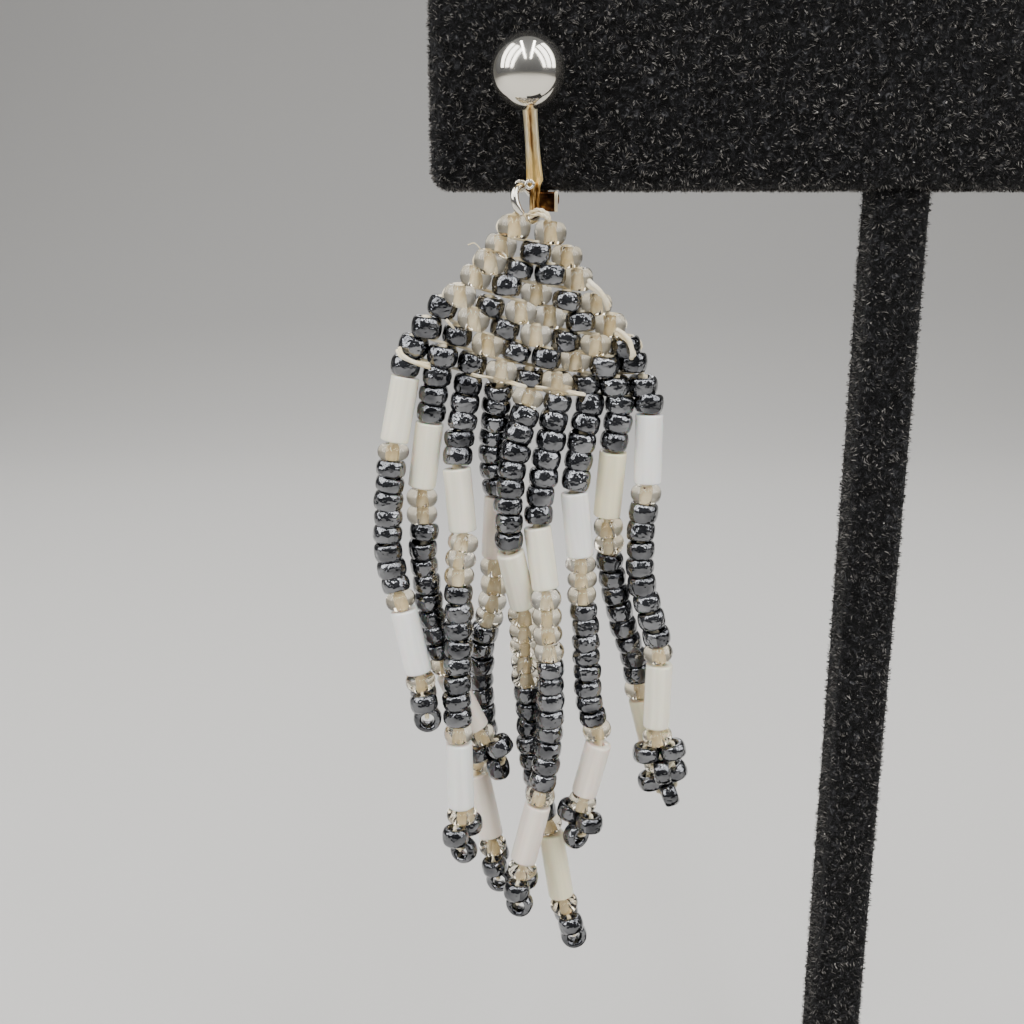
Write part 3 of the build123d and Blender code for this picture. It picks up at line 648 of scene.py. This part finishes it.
# Satin glass: milky white tube with a silky glow along its length and a glossy skin. One bead is
# white and the next ivory, cream or faintly pink, by which hundred millimetres of v it is given.
satin, tree, shader = material(
    "satin_glass",
    {"Roughness": 0.4, "Subsurface Weight": 0.3, "Subsurface Scale": 0.4 * MM,
     "Coat Weight": 0.8, "Coat Roughness": 0.14},
)
place = add(tree, "ShaderNodeUVMap", {"uv_map": "UVMap"})
along = add(tree, "ShaderNodeSeparateXYZ", {}, {0: place.outputs["UV"]})
batch = add(
    tree, "ShaderNodeMapRange", {"From Min": 0.0, "From Max": 300.0}, {"Value": along.outputs["Y"]}
)
shade = add(
    tree, "ShaderNodeValToRGB", {}, {"Fac": batch.outputs[0]},
    [(0.03, "#faf1cc"), (0.33, "#fbf5df"), (0.66, "#f9f9f4"), (0.97, "#f8ecdd")],
)
drawn = add(tree, "ShaderNodeMapping", {"Scale": (1.4, 0.07, 1.0)}, {"Vector": place.outputs["UV"]})
silk = add(
    tree, "ShaderNodeTexNoise", {"Scale": 1.0, "Detail": 5}, {"Vector": drawn.outputs["Vector"]}
)
streak = add(
    tree, "ShaderNodeMapRange", {"From Min": 0.36, "From Max": 0.62, "To Min": 0.86, "To Max": 1.0},
    {"Value": silk.outputs["Fac"]},
)
milk = add(
    tree, "ShaderNodeVectorMath", {"operation": "SCALE"},
    {0: shade.outputs["Color"], "Scale": streak.outputs[0]},
)
tree.links.new(milk.outputs[0], shader.inputs["Base Color"])

# Panel: glass seed beads in brick stitch, worked down from two beads. Each row is one bead wider
# and each bead is sewn to the thread bridge between two beads above. C is clear, D dark, and they
# draw a diamond.

# pitch is how many millimetres apart a row's beads sit, right and up how far it is off its even
# place, and tilt how much steeper than the panel it runs down to the right
Row = namedtuple("Row", "beads pitch right up tilt")
ROWS = [
    Row("CC", 2.62, 0.0, -0.05, 0.0),
    Row("CDC", 2.42, 0.2, -0.07, -0.02),
    Row("CDDC", 2.21, 0.25, 0.06, 0.03),
    Row("CDCDC", 2.23, 0.37, 0.02, 0.07),
    Row("CDCCDC", 2.26, 0.34, 0.03, 0.03),
    Row("DCDCDCD", 2.28, 0.3, 0.1, 0.06),
    Row("DDCDDCDD", 2.21, 0.04, 0.08, 0.02),
    Row("DDDCDCDDD", 2.17, -0.12, -0.08, 0.02),
]
COLUMN, ROW_DROP, FRINGE_STEP = 2.2 * MM, 1.55 * MM, 2.3 * MM

# the panel hangs turned a little, its rows fall to the right and curl up at both ends, and every
# other bead stands this many millimetres to the back and the next as far to the front
PANEL_TURN, ROW_FALL, STAGGER = math.radians(4), math.radians(-9.6), 0.22
panel_at = np.array([-27.4766, -3.345, 95.9913]) * MM
panel_right = np.array([math.cos(PANEL_TURN), math.sin(PANEL_TURN), 0])
panel_back = np.array([-panel_right[1], panel_right[0], 0])
row_slope, row_curl, half_row = math.tan(ROW_FALL), 0.95 * MM, len(ROWS) * COLUMN / 2
down_way = np.array([0, 0, -1.0])


def in_panel(across, down, back=0.0):
    """A place in the panel, from its top middle, in its tilted and curled rows."""
    line = across * row_slope + row_curl * (across / half_row) ** 2
    return panel_at + panel_right * across + panel_back * back + np.array([0, 0, line - down])


lots = {"C": [], "D": []}
bores = []
for r, row in enumerate(ROWS):
    bores.append([])
    for c, kind in enumerate(row.beads):
        from_middle = (c - (len(row.beads) - 1) / 2) * row.pitch * MM
        across = from_middle + row.right * MM
        stagger = STAGGER if (r + c) % 2 else -STAGGER
        back = (stagger + dice.uniform(-0.08, 0.08)) * MM
        at = in_panel(across, (r + 0.5) * ROW_DROP - row.up * MM + row.tilt * from_middle, back)
        at += dice.normal(0, 0.05, 3) * MM
        squarely = down_way + panel_right * 0.7 * (row_slope + 2 * row_curl * across / half_row**2)
        if kind == "C":
            lots[kind].append(clear_bead(at, strayed(squarely, 7), dice.uniform(1.66, 1.8) * MM))
        else:
            radius, length = dice.uniform(1.13, 1.19) * MM, dice.uniform(1.5, 1.64) * MM
            lots[kind].append(bead(at, strayed(squarely, 10), radius, length))
        bores[-1].append(at)
shown = piece("panel_dark_beads", joined(lots["D"]), hematite, "root")
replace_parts(shown, "bead_panel")
piece("panel_clear_beads", joined(lots["C"]), clear_glass, "root")


# Stitches: the same thread goes up and down every bore and bridges from bead to bead under each
# row. A few longer passes show at the edges, and the knotted end sticks out as a frayed tail.
def evened(line, step):
    """The same line in even steps of about the given length."""
    run = distances(line)
    even = np.linspace(0, run[-1], max(3, int(run[-1] / step)))
    return np.stack([np.interp(even, run, line[:, k]) for k in range(3)], -1)


def curved(points, step=0.12 * MM):
    """Even steps along a smooth line through a few places."""
    points = np.asarray(points, float)
    ends = np.vstack([2 * points[0] - points[1], points, 2 * points[-1] - points[-2]])
    dense = []
    for a, b, c, d in zip(ends, ends[1:], ends[2:], ends[3:]):
        for t in np.linspace(0, 1, 12, endpoint=False):
            dense.append(0.5 * (2 * b + (c - a) * t + (2 * a - 5 * b + 4 * c - d) * t**2
                                + (3 * b - a - 3 * c + d) * t**3))
    dense.append(points[-1])
    return evened(np.array(dense), step)


def twisted(path, plies, offset, ply_radius, pitch, sides=6):
    """A bundle of plies wound round a path."""
    path = np.asarray(path)
    ahead = np.gradient(path, axis=0)
    ahead /= np.linalg.norm(ahead, axis=1)[:, None]
    first = np.cross(ahead, [0.3, 1, 0.2])
    first /= np.linalg.norm(first, axis=1)[:, None]
    second = np.cross(ahead, first)
    run = distances(path)
    parts = []
    for n in range(plies):
        turn = 2 * math.pi * (run / pitch + n / plies)
        ply = path + offset * (first * np.cos(turn)[:, None] + second * np.sin(turn)[:, None])
        parts.append(swept(ply, circle(ply_radius, sides)))
    return parts


# the two plies in a bore lie so close that they fill it
CORE_PLY_OFFSET, CORE_TWIST, CORE_STEP, BRIDGE_DROP = 0.1 * MM, 4 * MM, 0.16 * MM, 0.8 * MM
stitches = []
for row in bores:
    for at in row:
        core = [at + down_way * d * MM for d in (-0.84, -0.3, 0.3, 0.84)]
        stitches += twisted(curved(core, CORE_STEP), 2, CORE_PLY_OFFSET, 0.29 * MM, CORE_TWIST, 10)
    for a, b in zip(row, row[1:]):
        low_a, low_b = a + down_way * BRIDGE_DROP, b + down_way * BRIDGE_DROP
        sag = panel_back * dice.uniform(-0.4, 0.4) * MM
        bridge = [low_a, low_a * 0.7 + low_b * 0.3 + sag, low_a * 0.3 + low_b * 0.7 + sag, low_b]
        stitches.append(swept(curved(bridge), circle(0.12 * MM, 6)))

# the passes that show on the front: how thick they are, and their places in columns across, rows
# down and millimetres to the back. They lie flat, the two strands side by side.
PASSES = [
    (0.17, [(2.85, 4.9, -0.9), (3.05, 5.05, -1.2), (3.28, 5.37, -1.3), (3.41, 5.9, -1.25),
            (3.45, 6.15, -0.8)]),
    (0.18, [(1.9, 2.65, -0.7), (1.99, 2.77, -1.1), (2.2, 2.97, -1.2), (2.42, 3.33, -1.1),
            (2.6, 3.8, -0.6)]),
    (0.15, [(-4.5, 7.9, -0.6), (-4.44, 8.06, -0.9), (-4.3, 8.16, -1.1), (-3.95, 8.2, -1.15),
            (-3.46, 8.15, -0.8)]),
    (0.08, [(-2.1, 7.95, -0.5), (-1.83, 7.93, -0.9), (-1.15, 7.8, -1.1), (-0.44, 7.93, -1.0),
            (0, 8.0, -0.6)]),
    (0.08, [(0.1, 7.95, -0.6), (0.25, 7.9, -0.9), (0.97, 7.85, -1.05), (1.59, 7.98, -1.0),
            (2, 8.05, -0.6)]),
    (0.06, [(-2.88, 5.66, -0.8), (-2.8, 5.76, -0.95), (-2.7, 5.87, -0.95), (-2.64, 5.96, -0.8)]),
]
for half, places in PASSES:
    route = [in_panel(c * COLUMN, d * ROW_DROP, back * MM) for c, d, back in places]
    stitches += twisted(curved(route), 2, half * 0.9 * MM, half * MM, 9 * MM, 8)

# the thread goes round the outside of a few end beads
for r, hand in ((0, -1), (2, -1), (4, -1), (4, 1), (5, 1)):
    at = bores[r][0 if hand < 0 else -1]
    arc = [at + panel_right * hand * 0.9 * MM + down_way * 0.6 * MM]
    for a in np.radians(np.linspace(-10, 100, 6)):
        outward, upward = 1.24 * MM * math.cos(a), 0.88 * MM * math.sin(a)
        arc.append(at + panel_right * hand * outward - down_way * upward + panel_back * 0.1 * MM)
    stitches.append(swept(curved(arc), circle(0.09 * MM, 6)))
tail_places = ((-1.7, 1.95), (-1.78, 1.82), (-1.92, 1.73), (-2.12, 1.9))
tail = [in_panel(c * COLUMN, d * ROW_DROP) for c, d in tail_places]
stitches.append(swept(curved(tail, 0.06 * MM), circle(0.045 * MM, 5)))
piece("panel_stitches", joined(stitches), cream, "root")

# Hanging loop: nine passes of thread over the ring, from bore to bore of the two top beads. They
# lie in a thick bundle that is drawn to the right.
loop = []
left, right = bores[0]
for n in range(9):
    off = np.array([0.05, 0.17, 0.15]) * dice.normal(0, 1, 3).clip(-1.4, 1.4) * MM
    path = curved([
        left + off * 0.3,
        left - down_way * 0.8 * MM + off * 0.6,
        np.array([ring_at[0] - 0.05 * MM, clip_y - 0.2 * MM, 96.0 * MM]) + off,
        np.array([ring_at[0] + 0.45 * MM, clip_y - 0.45 * MM, 96.28 * MM]) + off,
        np.array([ring_at[0] + 0.95 * MM, clip_y - 0.6 * MM, 96.42 * MM]) + off,
        np.array([ring_at[0] + 1.5 * MM, clip_y - 0.55 * MM, 96.14 * MM]) + off,
        right + np.array([-0.1, -0.35, 0.8]) * MM + off * 0.8,
        right - down_way * 0.5 * MM + off * 0.5,
        right + off * 0.3,
    ], 0.1 * MM)
    loop += twisted(path, 2, 0.065 * MM, 0.085 * MM, 0.9 * MM)
shown = piece("hanging_loop_thread", joined(loop), cream, "root")
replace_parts(shown, "hanging_loop")


# Fringe: nine strands of glass beads hang from the bottom row, each strung straight down on
# thread and closed below by a three-bead picot. They keep the kinks that the stiff thread gave
# them.

# A stretch is what it is, how many beads it holds, and how many degrees it leans to the right and
# to the back. upper and middle are how closely the beads sit, tubes are the shares of the bugles'
# length and glass their batch (0 cream, 1 ivory, 2 white, 3 pinkish), picot turns the end beads,
# and clear is how many clear beads follow the first bugle.
Stretch = namedtuple("Stretch", "kind beads right back")
Strand = namedtuple("Strand", "upper middle tubes glass picot clear stretches")
STRANDS = [
    Strand(0.9, 0.93, (0.94, 0.99), (1, 2), 95, 1, [
        Stretch("beads", 1, -7, -2),
        Stretch("bugle", 0, -11, -5),
        Stretch("beads", 3, -7, -3),
        Stretch("beads", 3, -2, -3),
        Stretch("beads", 2, 6, -4),
        Stretch("beads", 2, 18, -4),
        Stretch("bugle", 0, 12, -2),
        Stretch("end", 1, 9, 0),
    ]),
    Strand(0.97, 1.0, (0.96, 1.0), (1, 3), -20, 2, [
        Stretch("beads", 3, -10, -1),
        Stretch("bugle", 0, -8, 0),
        Stretch("beads", 2, 1, 1),
        Stretch("beads", 3, 1, 2),
        Stretch("beads", 3, 7, 3),
        Stretch("beads", 3, 15, 3),
        Stretch("bugle", 0, 25, 0),
        Stretch("end", 1, 27, 1),
    ]),
    Strand(0.97, 1.01, (0.93, 1.07), (1, 2), 60, 3, [
        Stretch("beads", 2, -11, -5),
        Stretch("beads", 3, -7, -5),
        Stretch("bugle", 0, 5, -4),
        Stretch("beads", 2, -8, -7),
        Stretch("beads", 3, 1, -6),
        Stretch("beads", 4, -3, -1),
        Stretch("beads", 3, 2, 0),
        Stretch("bugle", 0, 1, 0),
        Stretch("end", 1, 3, 0),
    ]),
    Strand(0.91, 1.08, (0.95, 1.06), (3, 3), 86, 4, [
        Stretch("beads", 3, -8, 13),
        Stretch("beads", 2, -2, 10),
        Stretch("beads", 2, 10, 3),
        Stretch("bugle", 0, -3, 1),
        Stretch("beads", 2, 0, 3),
        Stretch("beads", 4, -13, 9),
        Stretch("beads", 3, 3, 6),
        Stretch("beads", 2, 6, 2),
        Stretch("beads", 2, -16, -1),
        Stretch("bugle", 0, 12, -9),
        Stretch("end", 1, 10, -2),
    ]),
    Strand(0.97, 1.06, (0.97, 1.13), (1, 0), -80, 5, [
        Stretch("beads", 3, -15, -12),
        Stretch("beads", 3, -8, -5),
        Stretch("beads", 3, 1, -1),
        Stretch("bugle", 0, 12, 15),
        Stretch("beads", 3, 1, 8),
        Stretch("beads", 3, 4, 7),
        Stretch("beads", 3, 3, 3),
        Stretch("beads", 3, 11, 1),
        Stretch("beads", 2, 17, -3),
        Stretch("bugle", 0, 9, -1),
        Stretch("end", 1, 16, 0),
    ]),
    Strand(1.03, 1.0, (0.94, 1.0), (1, 3), 70, 4, [
        Stretch("beads", 3, -12, -7),
        Stretch("beads", 2, -10, -5),
        Stretch("beads", 2, -7, -3),
        Stretch("bugle", 0, 8, -4),
        Stretch("beads", 3, 3, -2),
        Stretch("beads", 3, 5, -1),
        Stretch("beads", 4, -4, 0),
        Stretch("beads", 3, -9, -1),
        Stretch("bugle", 0, -13, 1),
        Stretch("end", 1, -4, 0),
    ]),
    Strand(1.04, 0.91, (0.97, 0.9), (2, 3), -45, 3, [
        Stretch("beads", 3, -10, -4),
        Stretch("beads", 2, -8, -3),
        Stretch("bugle", 0, 6, -2),
        Stretch("beads", 3, 3, -2),
        Stretch("beads", 3, 7, -1),
        Stretch("beads", 3, 0, -2),
        Stretch("beads", 3, 16, -4),
        Stretch("bugle", 0, -13, 3),
        Stretch("end", 1, -9, 2),
    ]),
    Strand(1.0, 1.05, (1.0, 1.0), (0, 0), 8, 2, [
        Stretch("beads", 3, -6, 0),
        Stretch("bugle", 0, -4, 4),
        Stretch("beads", 3, 5, 5),
        Stretch("beads", 3, 13, 7),
        Stretch("beads", 3, 18, 6),
        Stretch("beads", 2, 9, 4),
        Stretch("bugle", 0, 14, 1),
        Stretch("end", 1, 20, 1),
    ]),
    Strand(1.0, 1.05, (1.02, 1.03), (2, 1), -5, 1, [
        Stretch("beads", 1, -3, 0),
        Stretch("bugle", 0, 0, -2),
        Stretch("beads", 2, -6, -2),
        Stretch("beads", 3, -2, -2),
        Stretch("beads", 3, 17, -2),
        Stretch("beads", 2, 10, 0),
        Stretch("bugle", 0, -1, 0),
        Stretch("end", 1, 9, 0),
    ]),
]
PITCH, SEAM, BUGLE_LENGTH, BUGLE_RADIUS = 1.42 * MM, 0.1 * MM, 5.3 * MM, 1.075 * MM
CLEAR_LENGTH, BEAD_RADIUS, BEND_SHARE = 1.25 * MM, 1.05 * MM, 0.45
MIDDLE_DARK_BEADS = 8


def between(a, b):
    """Half the angle between two ways, in radians."""
    return math.acos(max(-1, min(1, float(a @ b)))) / 2


def rounded(corners, reaches, step=0.1 * MM):
    """Even steps along straight runs whose corners are rounded off over the given reaches."""
    dense = [corners[0]]
    for before, here, after, reach in zip(corners, corners[1:], corners[2:], reaches):
        a = here + (before - here) * reach / np.linalg.norm(before - here)
        b = here + (after - here) * reach / np.linalg.norm(after - here)
        dense += [(1 - t) ** 2 * a + 2 * t * (1 - t) * here + t * t * b for t in np.linspace(0, 1, 7)]
    return evened(np.array(dense + [corners[-1]]), step)


def strung(line, kinds, clear_share):
    """Beads along a line, each a little thicker or thinner than the next, as lots by kind."""
    lots = {"C": [], "D": []}
    run = distances(line)
    ahead = np.gradient(line, axis=0)
    share = {"C": clear_share, "D": 1.0}
    thick = np.array([share[kind] * dice.uniform(0.93, 1.07) for kind in kinds])
    thick *= run[-1] / thick.sum()
    for kind, t, mid in zip(kinds, thick, np.cumsum(thick) - thick / 2):
        at = np.array([np.interp(mid, run, line[:, k]) for k in range(3)])
        way = np.array([np.interp(mid, run, ahead[:, k]) for k in range(3)])
        side = np.cross(way, dice.normal(0, 1, 3))
        at += side / np.linalg.norm(side) * dice.uniform(0, 0.1) * MM
        if kind == "C":
            lots[kind].append(clear_bead(at, strayed(way, 6), t * 1.03))
        else:
            lots[kind].append(bead(at, strayed(way, 9), dice.uniform(1.1, 1.18) * MM, t * 1.08))
    return lots


def bugle_tube(length):
    """A cut tube with softened rims, about its middle, drawn not quite round."""
    half = length / 2
    rim = [(BUGLE_RADIUS - 0.16 * MM, 0), (BUGLE_RADIUS - 0.07 * MM, 0.02 * MM),
           (BUGLE_RADIUS - 0.02 * MM, 0.07 * MM), (BUGLE_RADIUS, 0.16 * MM), (BUGLE_RADIUS, 0.4 * MM)]
    hole = [(0.52 * MM, 0), (0.45 * MM, 0.07 * MM)]
    outline = [(r, z - half) for r, z in rim] + [(r, half - z) for r, z in reversed(rim)]
    outline += [(r, half - z) for r, z in hole] + [(r, z - half) for r, z in reversed(hole)]
    points, faces, uvs = turned(outline, 40)
    around = np.arctan2(points[:, 1], points[:, 0]) + dice.uniform(0, 2 * math.pi)
    points[:, :2] *= (1 + 0.012 * np.cos(3 * around) + 0.008 * np.cos(5 * around))[:, None]
    return points, faces, uvs


for number, strand in enumerate(STRANDS, 1):
    # the route, from the underside of the panel down
    ways = []
    for stretch in strand.stretches:
        right, back = math.sin(math.radians(stretch.right)), math.sin(math.radians(stretch.back))
        ways.append(np.array([right, back, -math.sqrt(1 - right**2 - back**2)]))
    across = (number - (len(STRANDS) + 1) / 2) * FRINGE_STEP
    square = panel_right * (row_slope + 2 * row_curl * across / half_row**2) + down_way
    square /= np.linalg.norm(square)
    trims = [SEAM / 2 + BEAD_RADIUS * math.tan(2 * between(square, ways[0]))]
    trims += [SEAM / 2 + BUGLE_RADIUS * math.tan(between(a, b)) for a, b in zip(ways, ways[1:])]
    corners = [in_panel(across, len(ROWS) * ROW_DROP + SEAM / 2)]
    lengths, tubes, spacing = [], [], strand.upper
    for i, stretch in enumerate(strand.stretches):
        if stretch.kind == "bugle":
            tubes.append(BUGLE_LENGTH * strand.tubes[len(tubes)])
            length = tubes[-1] + trims[i] + trims[i + 1]
            spacing = strand.middle
        elif stretch.kind == "beads":
            length = stretch.beads * PITCH * spacing + (trims[0] if i == 0 else 0)
        else:
            length = trims[i] + CLEAR_LENGTH
        lengths.append(length)
        corners.append(corners[-1] + ways[i] * length)

    # the two strings of seed beads, above and below the first bugle
    lots = {"C": [], "D": []}
    kinds = "CDDDDDDDD" if number == 5 else "D" * (2 * strand.clear - 1)
    first = 0
    for _ in range(2):
        last = first
        while strand.stretches[last + 1].kind == "beads":
            last += 1
        run = corners[first : last + 2]
        run[0] = run[0] + ways[first] * trims[first] * 0.4
        run[-1] = run[-1] - ways[last] * trims[last + 1] * 0.4
        reaches = [BEND_SHARE * min(lengths[i], lengths[i + 1]) for i in range(first, last)]
        made = strung(rounded(run, reaches), kinds, 0.88 if number == 5 and first else 1.0)
        lots["C"] += made["C"]
        lots["D"] += made["D"]
        kinds = "C" * strand.clear + "D" * MIDDLE_DARK_BEADS + "C"
        first = last + 2

    # the bugles, straight cut tubes
    places = [i for i, stretch in enumerate(strand.stretches) if stretch.kind == "bugle"]
    for name, i, tube, batch in zip(("upper", "lower"), places, tubes, strand.glass):
        at = corners[i] + ways[i] * (trims[i] + tube / 2)
        points, faces, uvs = moved(bugle_tube(tube), at, ways[i])
        uvs = uvs + [dice.uniform(0, 500), 100 * batch + dice.uniform(-8, 8)]
        shown = piece(f"bugle_{number}_{name}_glass", (points, faces, uvs), satin, "root")
        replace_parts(shown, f"bugle_{number}_{name}")

    # the picot: a clear bead, two dark ones side by side under it and one across below them
    down = ways[-1]
    clear_top = corners[-2] + down * trims[-1]
    middle = clear_top + down * CLEAR_LENGTH / 2
    lots["C"].append(clear_bead(middle, strayed(down, 3), CLEAR_LENGTH * 1.08))
    turn = math.radians(strand.picot)
    side = np.array([math.cos(turn), math.sin(turn), 0])
    side -= down * (side @ down)
    side /= np.linalg.norm(side)
    pair_top = clear_top + down * (CLEAR_LENGTH + SEAM)
    thickness = PITCH - SEAM
    pair = []
    for hand in (-1, 1):
        at = pair_top + down * thickness / 2 + side * hand * 1.1 * MM
        pair.append(at)
        tilt = strayed(down + side * hand * 0.1, 3)
        lots["D"].append(bead(at, tilt, dice.uniform(1.07, 1.13) * MM, thickness * 1.1))
    low_at = pair_top + down * (thickness + SEAM + BEAD_RADIUS)
    lots["D"].append(bead(low_at, strayed(side, 3), dice.uniform(1.1, 1.15) * MM, thickness, 0.48 * MM))

    shown = piece(f"fringe_{number}_dark", joined(lots["D"]), hematite, "root")
    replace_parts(shown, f"fringe_{number}")
    piece(f"fringe_{number}_clear", joined(lots["C"]), clear_glass, "root")

    # the thread runs down every bore, out of one bead of the pair, through the top of the turned
    # bead's hole, which hangs on it, and back up the other
    run = [corners[0] - ways[0] * 0.5 * MM] + corners[1:]
    reaches = []
    for i, (a, b) in enumerate(zip(strand.stretches, strand.stretches[1:])):
        both_beads = a.kind == b.kind == "beads"
        reaches.append(BEND_SHARE * min(lengths[i], lengths[i + 1]) if both_beads else 0.2 * MM)
    core = twisted(rounded(run, reaches, CORE_STEP), 2, CORE_PLY_OFFSET, 0.27 * MM, CORE_TWIST, 10)
    half_loops = []
    for hand, bead_at in zip((-1, 1), pair):
        half_loops.append([
            clear_top + down * CLEAR_LENGTH * 0.6,
            clear_top + down * (CLEAR_LENGTH + 0.02 * MM) + side * hand * 0.2 * MM,
            bead_at - down * 0.66 * MM,
            bead_at,
            bead_at + down * 0.7 * MM,
            low_at - down * 0.62 * MM + side * hand * 0.84 * MM,
            low_at - down * 0.26 * MM + side * hand * 0.55 * MM,
        ])
    loop = curved(half_loops[0] + [low_at - down * 0.24 * MM] + half_loops[1][::-1], 0.08 * MM)
    core += twisted(loop, 2, 0.09 * MM, 0.1 * MM, 0.9 * MM)
    shown = piece(f"thread_{number}_plies", joined(core), cream, "root")
    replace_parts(shown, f"thread_{number}")


# Studio: a pale paper sweep, a tall soft window of three panes at each side above, two long narrow
# lamps overhead and a low light behind, so that each round bead carries a row of bright bars.
paper, tree, shader = material("pale_paper", {"Base Color": linear("#cfcdc9"), "Roughness": 0.9})
BEND_FROM, BEND_RADIUS, SWEEP_HALF = 0.35, 0.5, 1.6
outline = [(y, 0.0) for y in np.linspace(-1.2, BEND_FROM, 12)]
for a in np.radians(np.linspace(6, 90, 20)):
    outline.append((BEND_FROM + BEND_RADIUS * math.sin(a), BEND_RADIUS - BEND_RADIUS * math.cos(a)))
outline += [(0.85, z) for z in np.linspace(0.6, 1.6, 6)]
points = [(x, y, z) for y, z in outline for x in (-SWEEP_HALF, SWEEP_HALF)]
faces = [(2 * k, 2 * k + 1, 2 * k + 3, 2 * k + 2) for k in range(len(outline) - 1)]
mesh = bpy.data.meshes.new("paper_sweep")
mesh.from_pydata(points, [], faces)
mesh.polygons.foreach_set("use_smooth", [True] * len(mesh.polygons))
mesh.materials.append(paper)
sweep = bpy.data.objects.new("paper_sweep", mesh)
bpy.context.scene.collection.objects.link(sweep)

middle = Vector((-28 * MM, -4 * MM, 85 * MM))
upright, front_to_back = Vector((0, 0, 1)), Vector((0, 1, 0))
LAMP_REACH, FROM_LEFT, FROM_RIGHT = 0.42, (-0.7, -0.28, 0.6), (0.7, -0.28, 0.6)
for name, way, long_way, shift, wide, tall, watts in (
    ("pane_left_outer", FROM_LEFT, upright, -0.15, 0.11, 0.46, 0.85),
    ("pane_left_middle", FROM_LEFT, upright, 0.0, 0.11, 0.46, 0.85),
    ("pane_left_inner", FROM_LEFT, upright, 0.14, 0.08, 0.46, 0.75),
    ("tube_left", (-0.2, -0.4, 0.88), front_to_back, 0.0, 0.03, 0.5, 0.65),
    ("tube_right", (0.2, -0.4, 0.88), front_to_back, 0.0, 0.03, 0.5, 0.65),
    ("pane_right_inner", FROM_RIGHT, upright, -0.14, 0.08, 0.46, 0.7),
    ("pane_right_middle", FROM_RIGHT, upright, 0.0, 0.11, 0.46, 0.8),
    ("pane_right_outer", FROM_RIGHT, upright, 0.15, 0.11, 0.46, 0.8),
    ("rim", (-0.08, 0.82, 0.5), upright, 0.0, 0.25, 0.12, 0.45),
):
    data = bpy.data.lights.new(name, "AREA")
    data.shape = "RECTANGLE"
    data.size, data.size_y, data.energy = wide, tall, watts
    lamp = bpy.data.objects.new(name, data)
    back = Vector(way).normalized()
    side = long_way.cross(back).normalized()
    lamp.location = middle + back * LAMP_REACH + side * shift
    lamp.rotation_mode = "QUATERNION"
    lamp.rotation_quaternion = Matrix((side, back.cross(side), back)).transposed().to_quaternion()
    bpy.context.scene.collection.objects.link(lamp)

# the air of the studio is darker low down and paler overhead
world = bpy.data.worlds.new("studio_air")
world.use_nodes = True
tree = world.node_tree
place = add(tree, "ShaderNodeTexCoord")
height = add(tree, "ShaderNodeSeparateXYZ", {}, {0: place.outputs["Generated"]})
shade = add(
    tree, "ShaderNodeValToRGB", {}, {"Fac": height.outputs["Z"]},
    [(0.0, "#8d8e92"), (0.3, "#9d9ea2"), (0.9, "#b5b6b9")],
)
tree.links.new(shade.outputs["Color"], tree.nodes["Background"].inputs["Color"])
tree.nodes["Background"].inputs["Strength"].default_value = 0.5
bpy.context.scene.world = world

# a lens a little longer than normal, from in front of the ball and looking down on the earring
LOOKS_DOWN = 15.5
camera_data = bpy.data.cameras.new("camera")
camera_data.sensor_width = 36
camera_data.lens = 43.945
camera_data.clip_start, camera_data.clip_end = 0.005, 10
camera = bpy.data.objects.new("camera", camera_data)
camera.location = Vector((-28.9, -97.07, 99.72)) * MM
camera.rotation_euler = (math.radians(90 - LOOKS_DOWN), 0, 0)
bpy.context.scene.collection.objects.link(camera)
bpy.context.scene.camera = camera
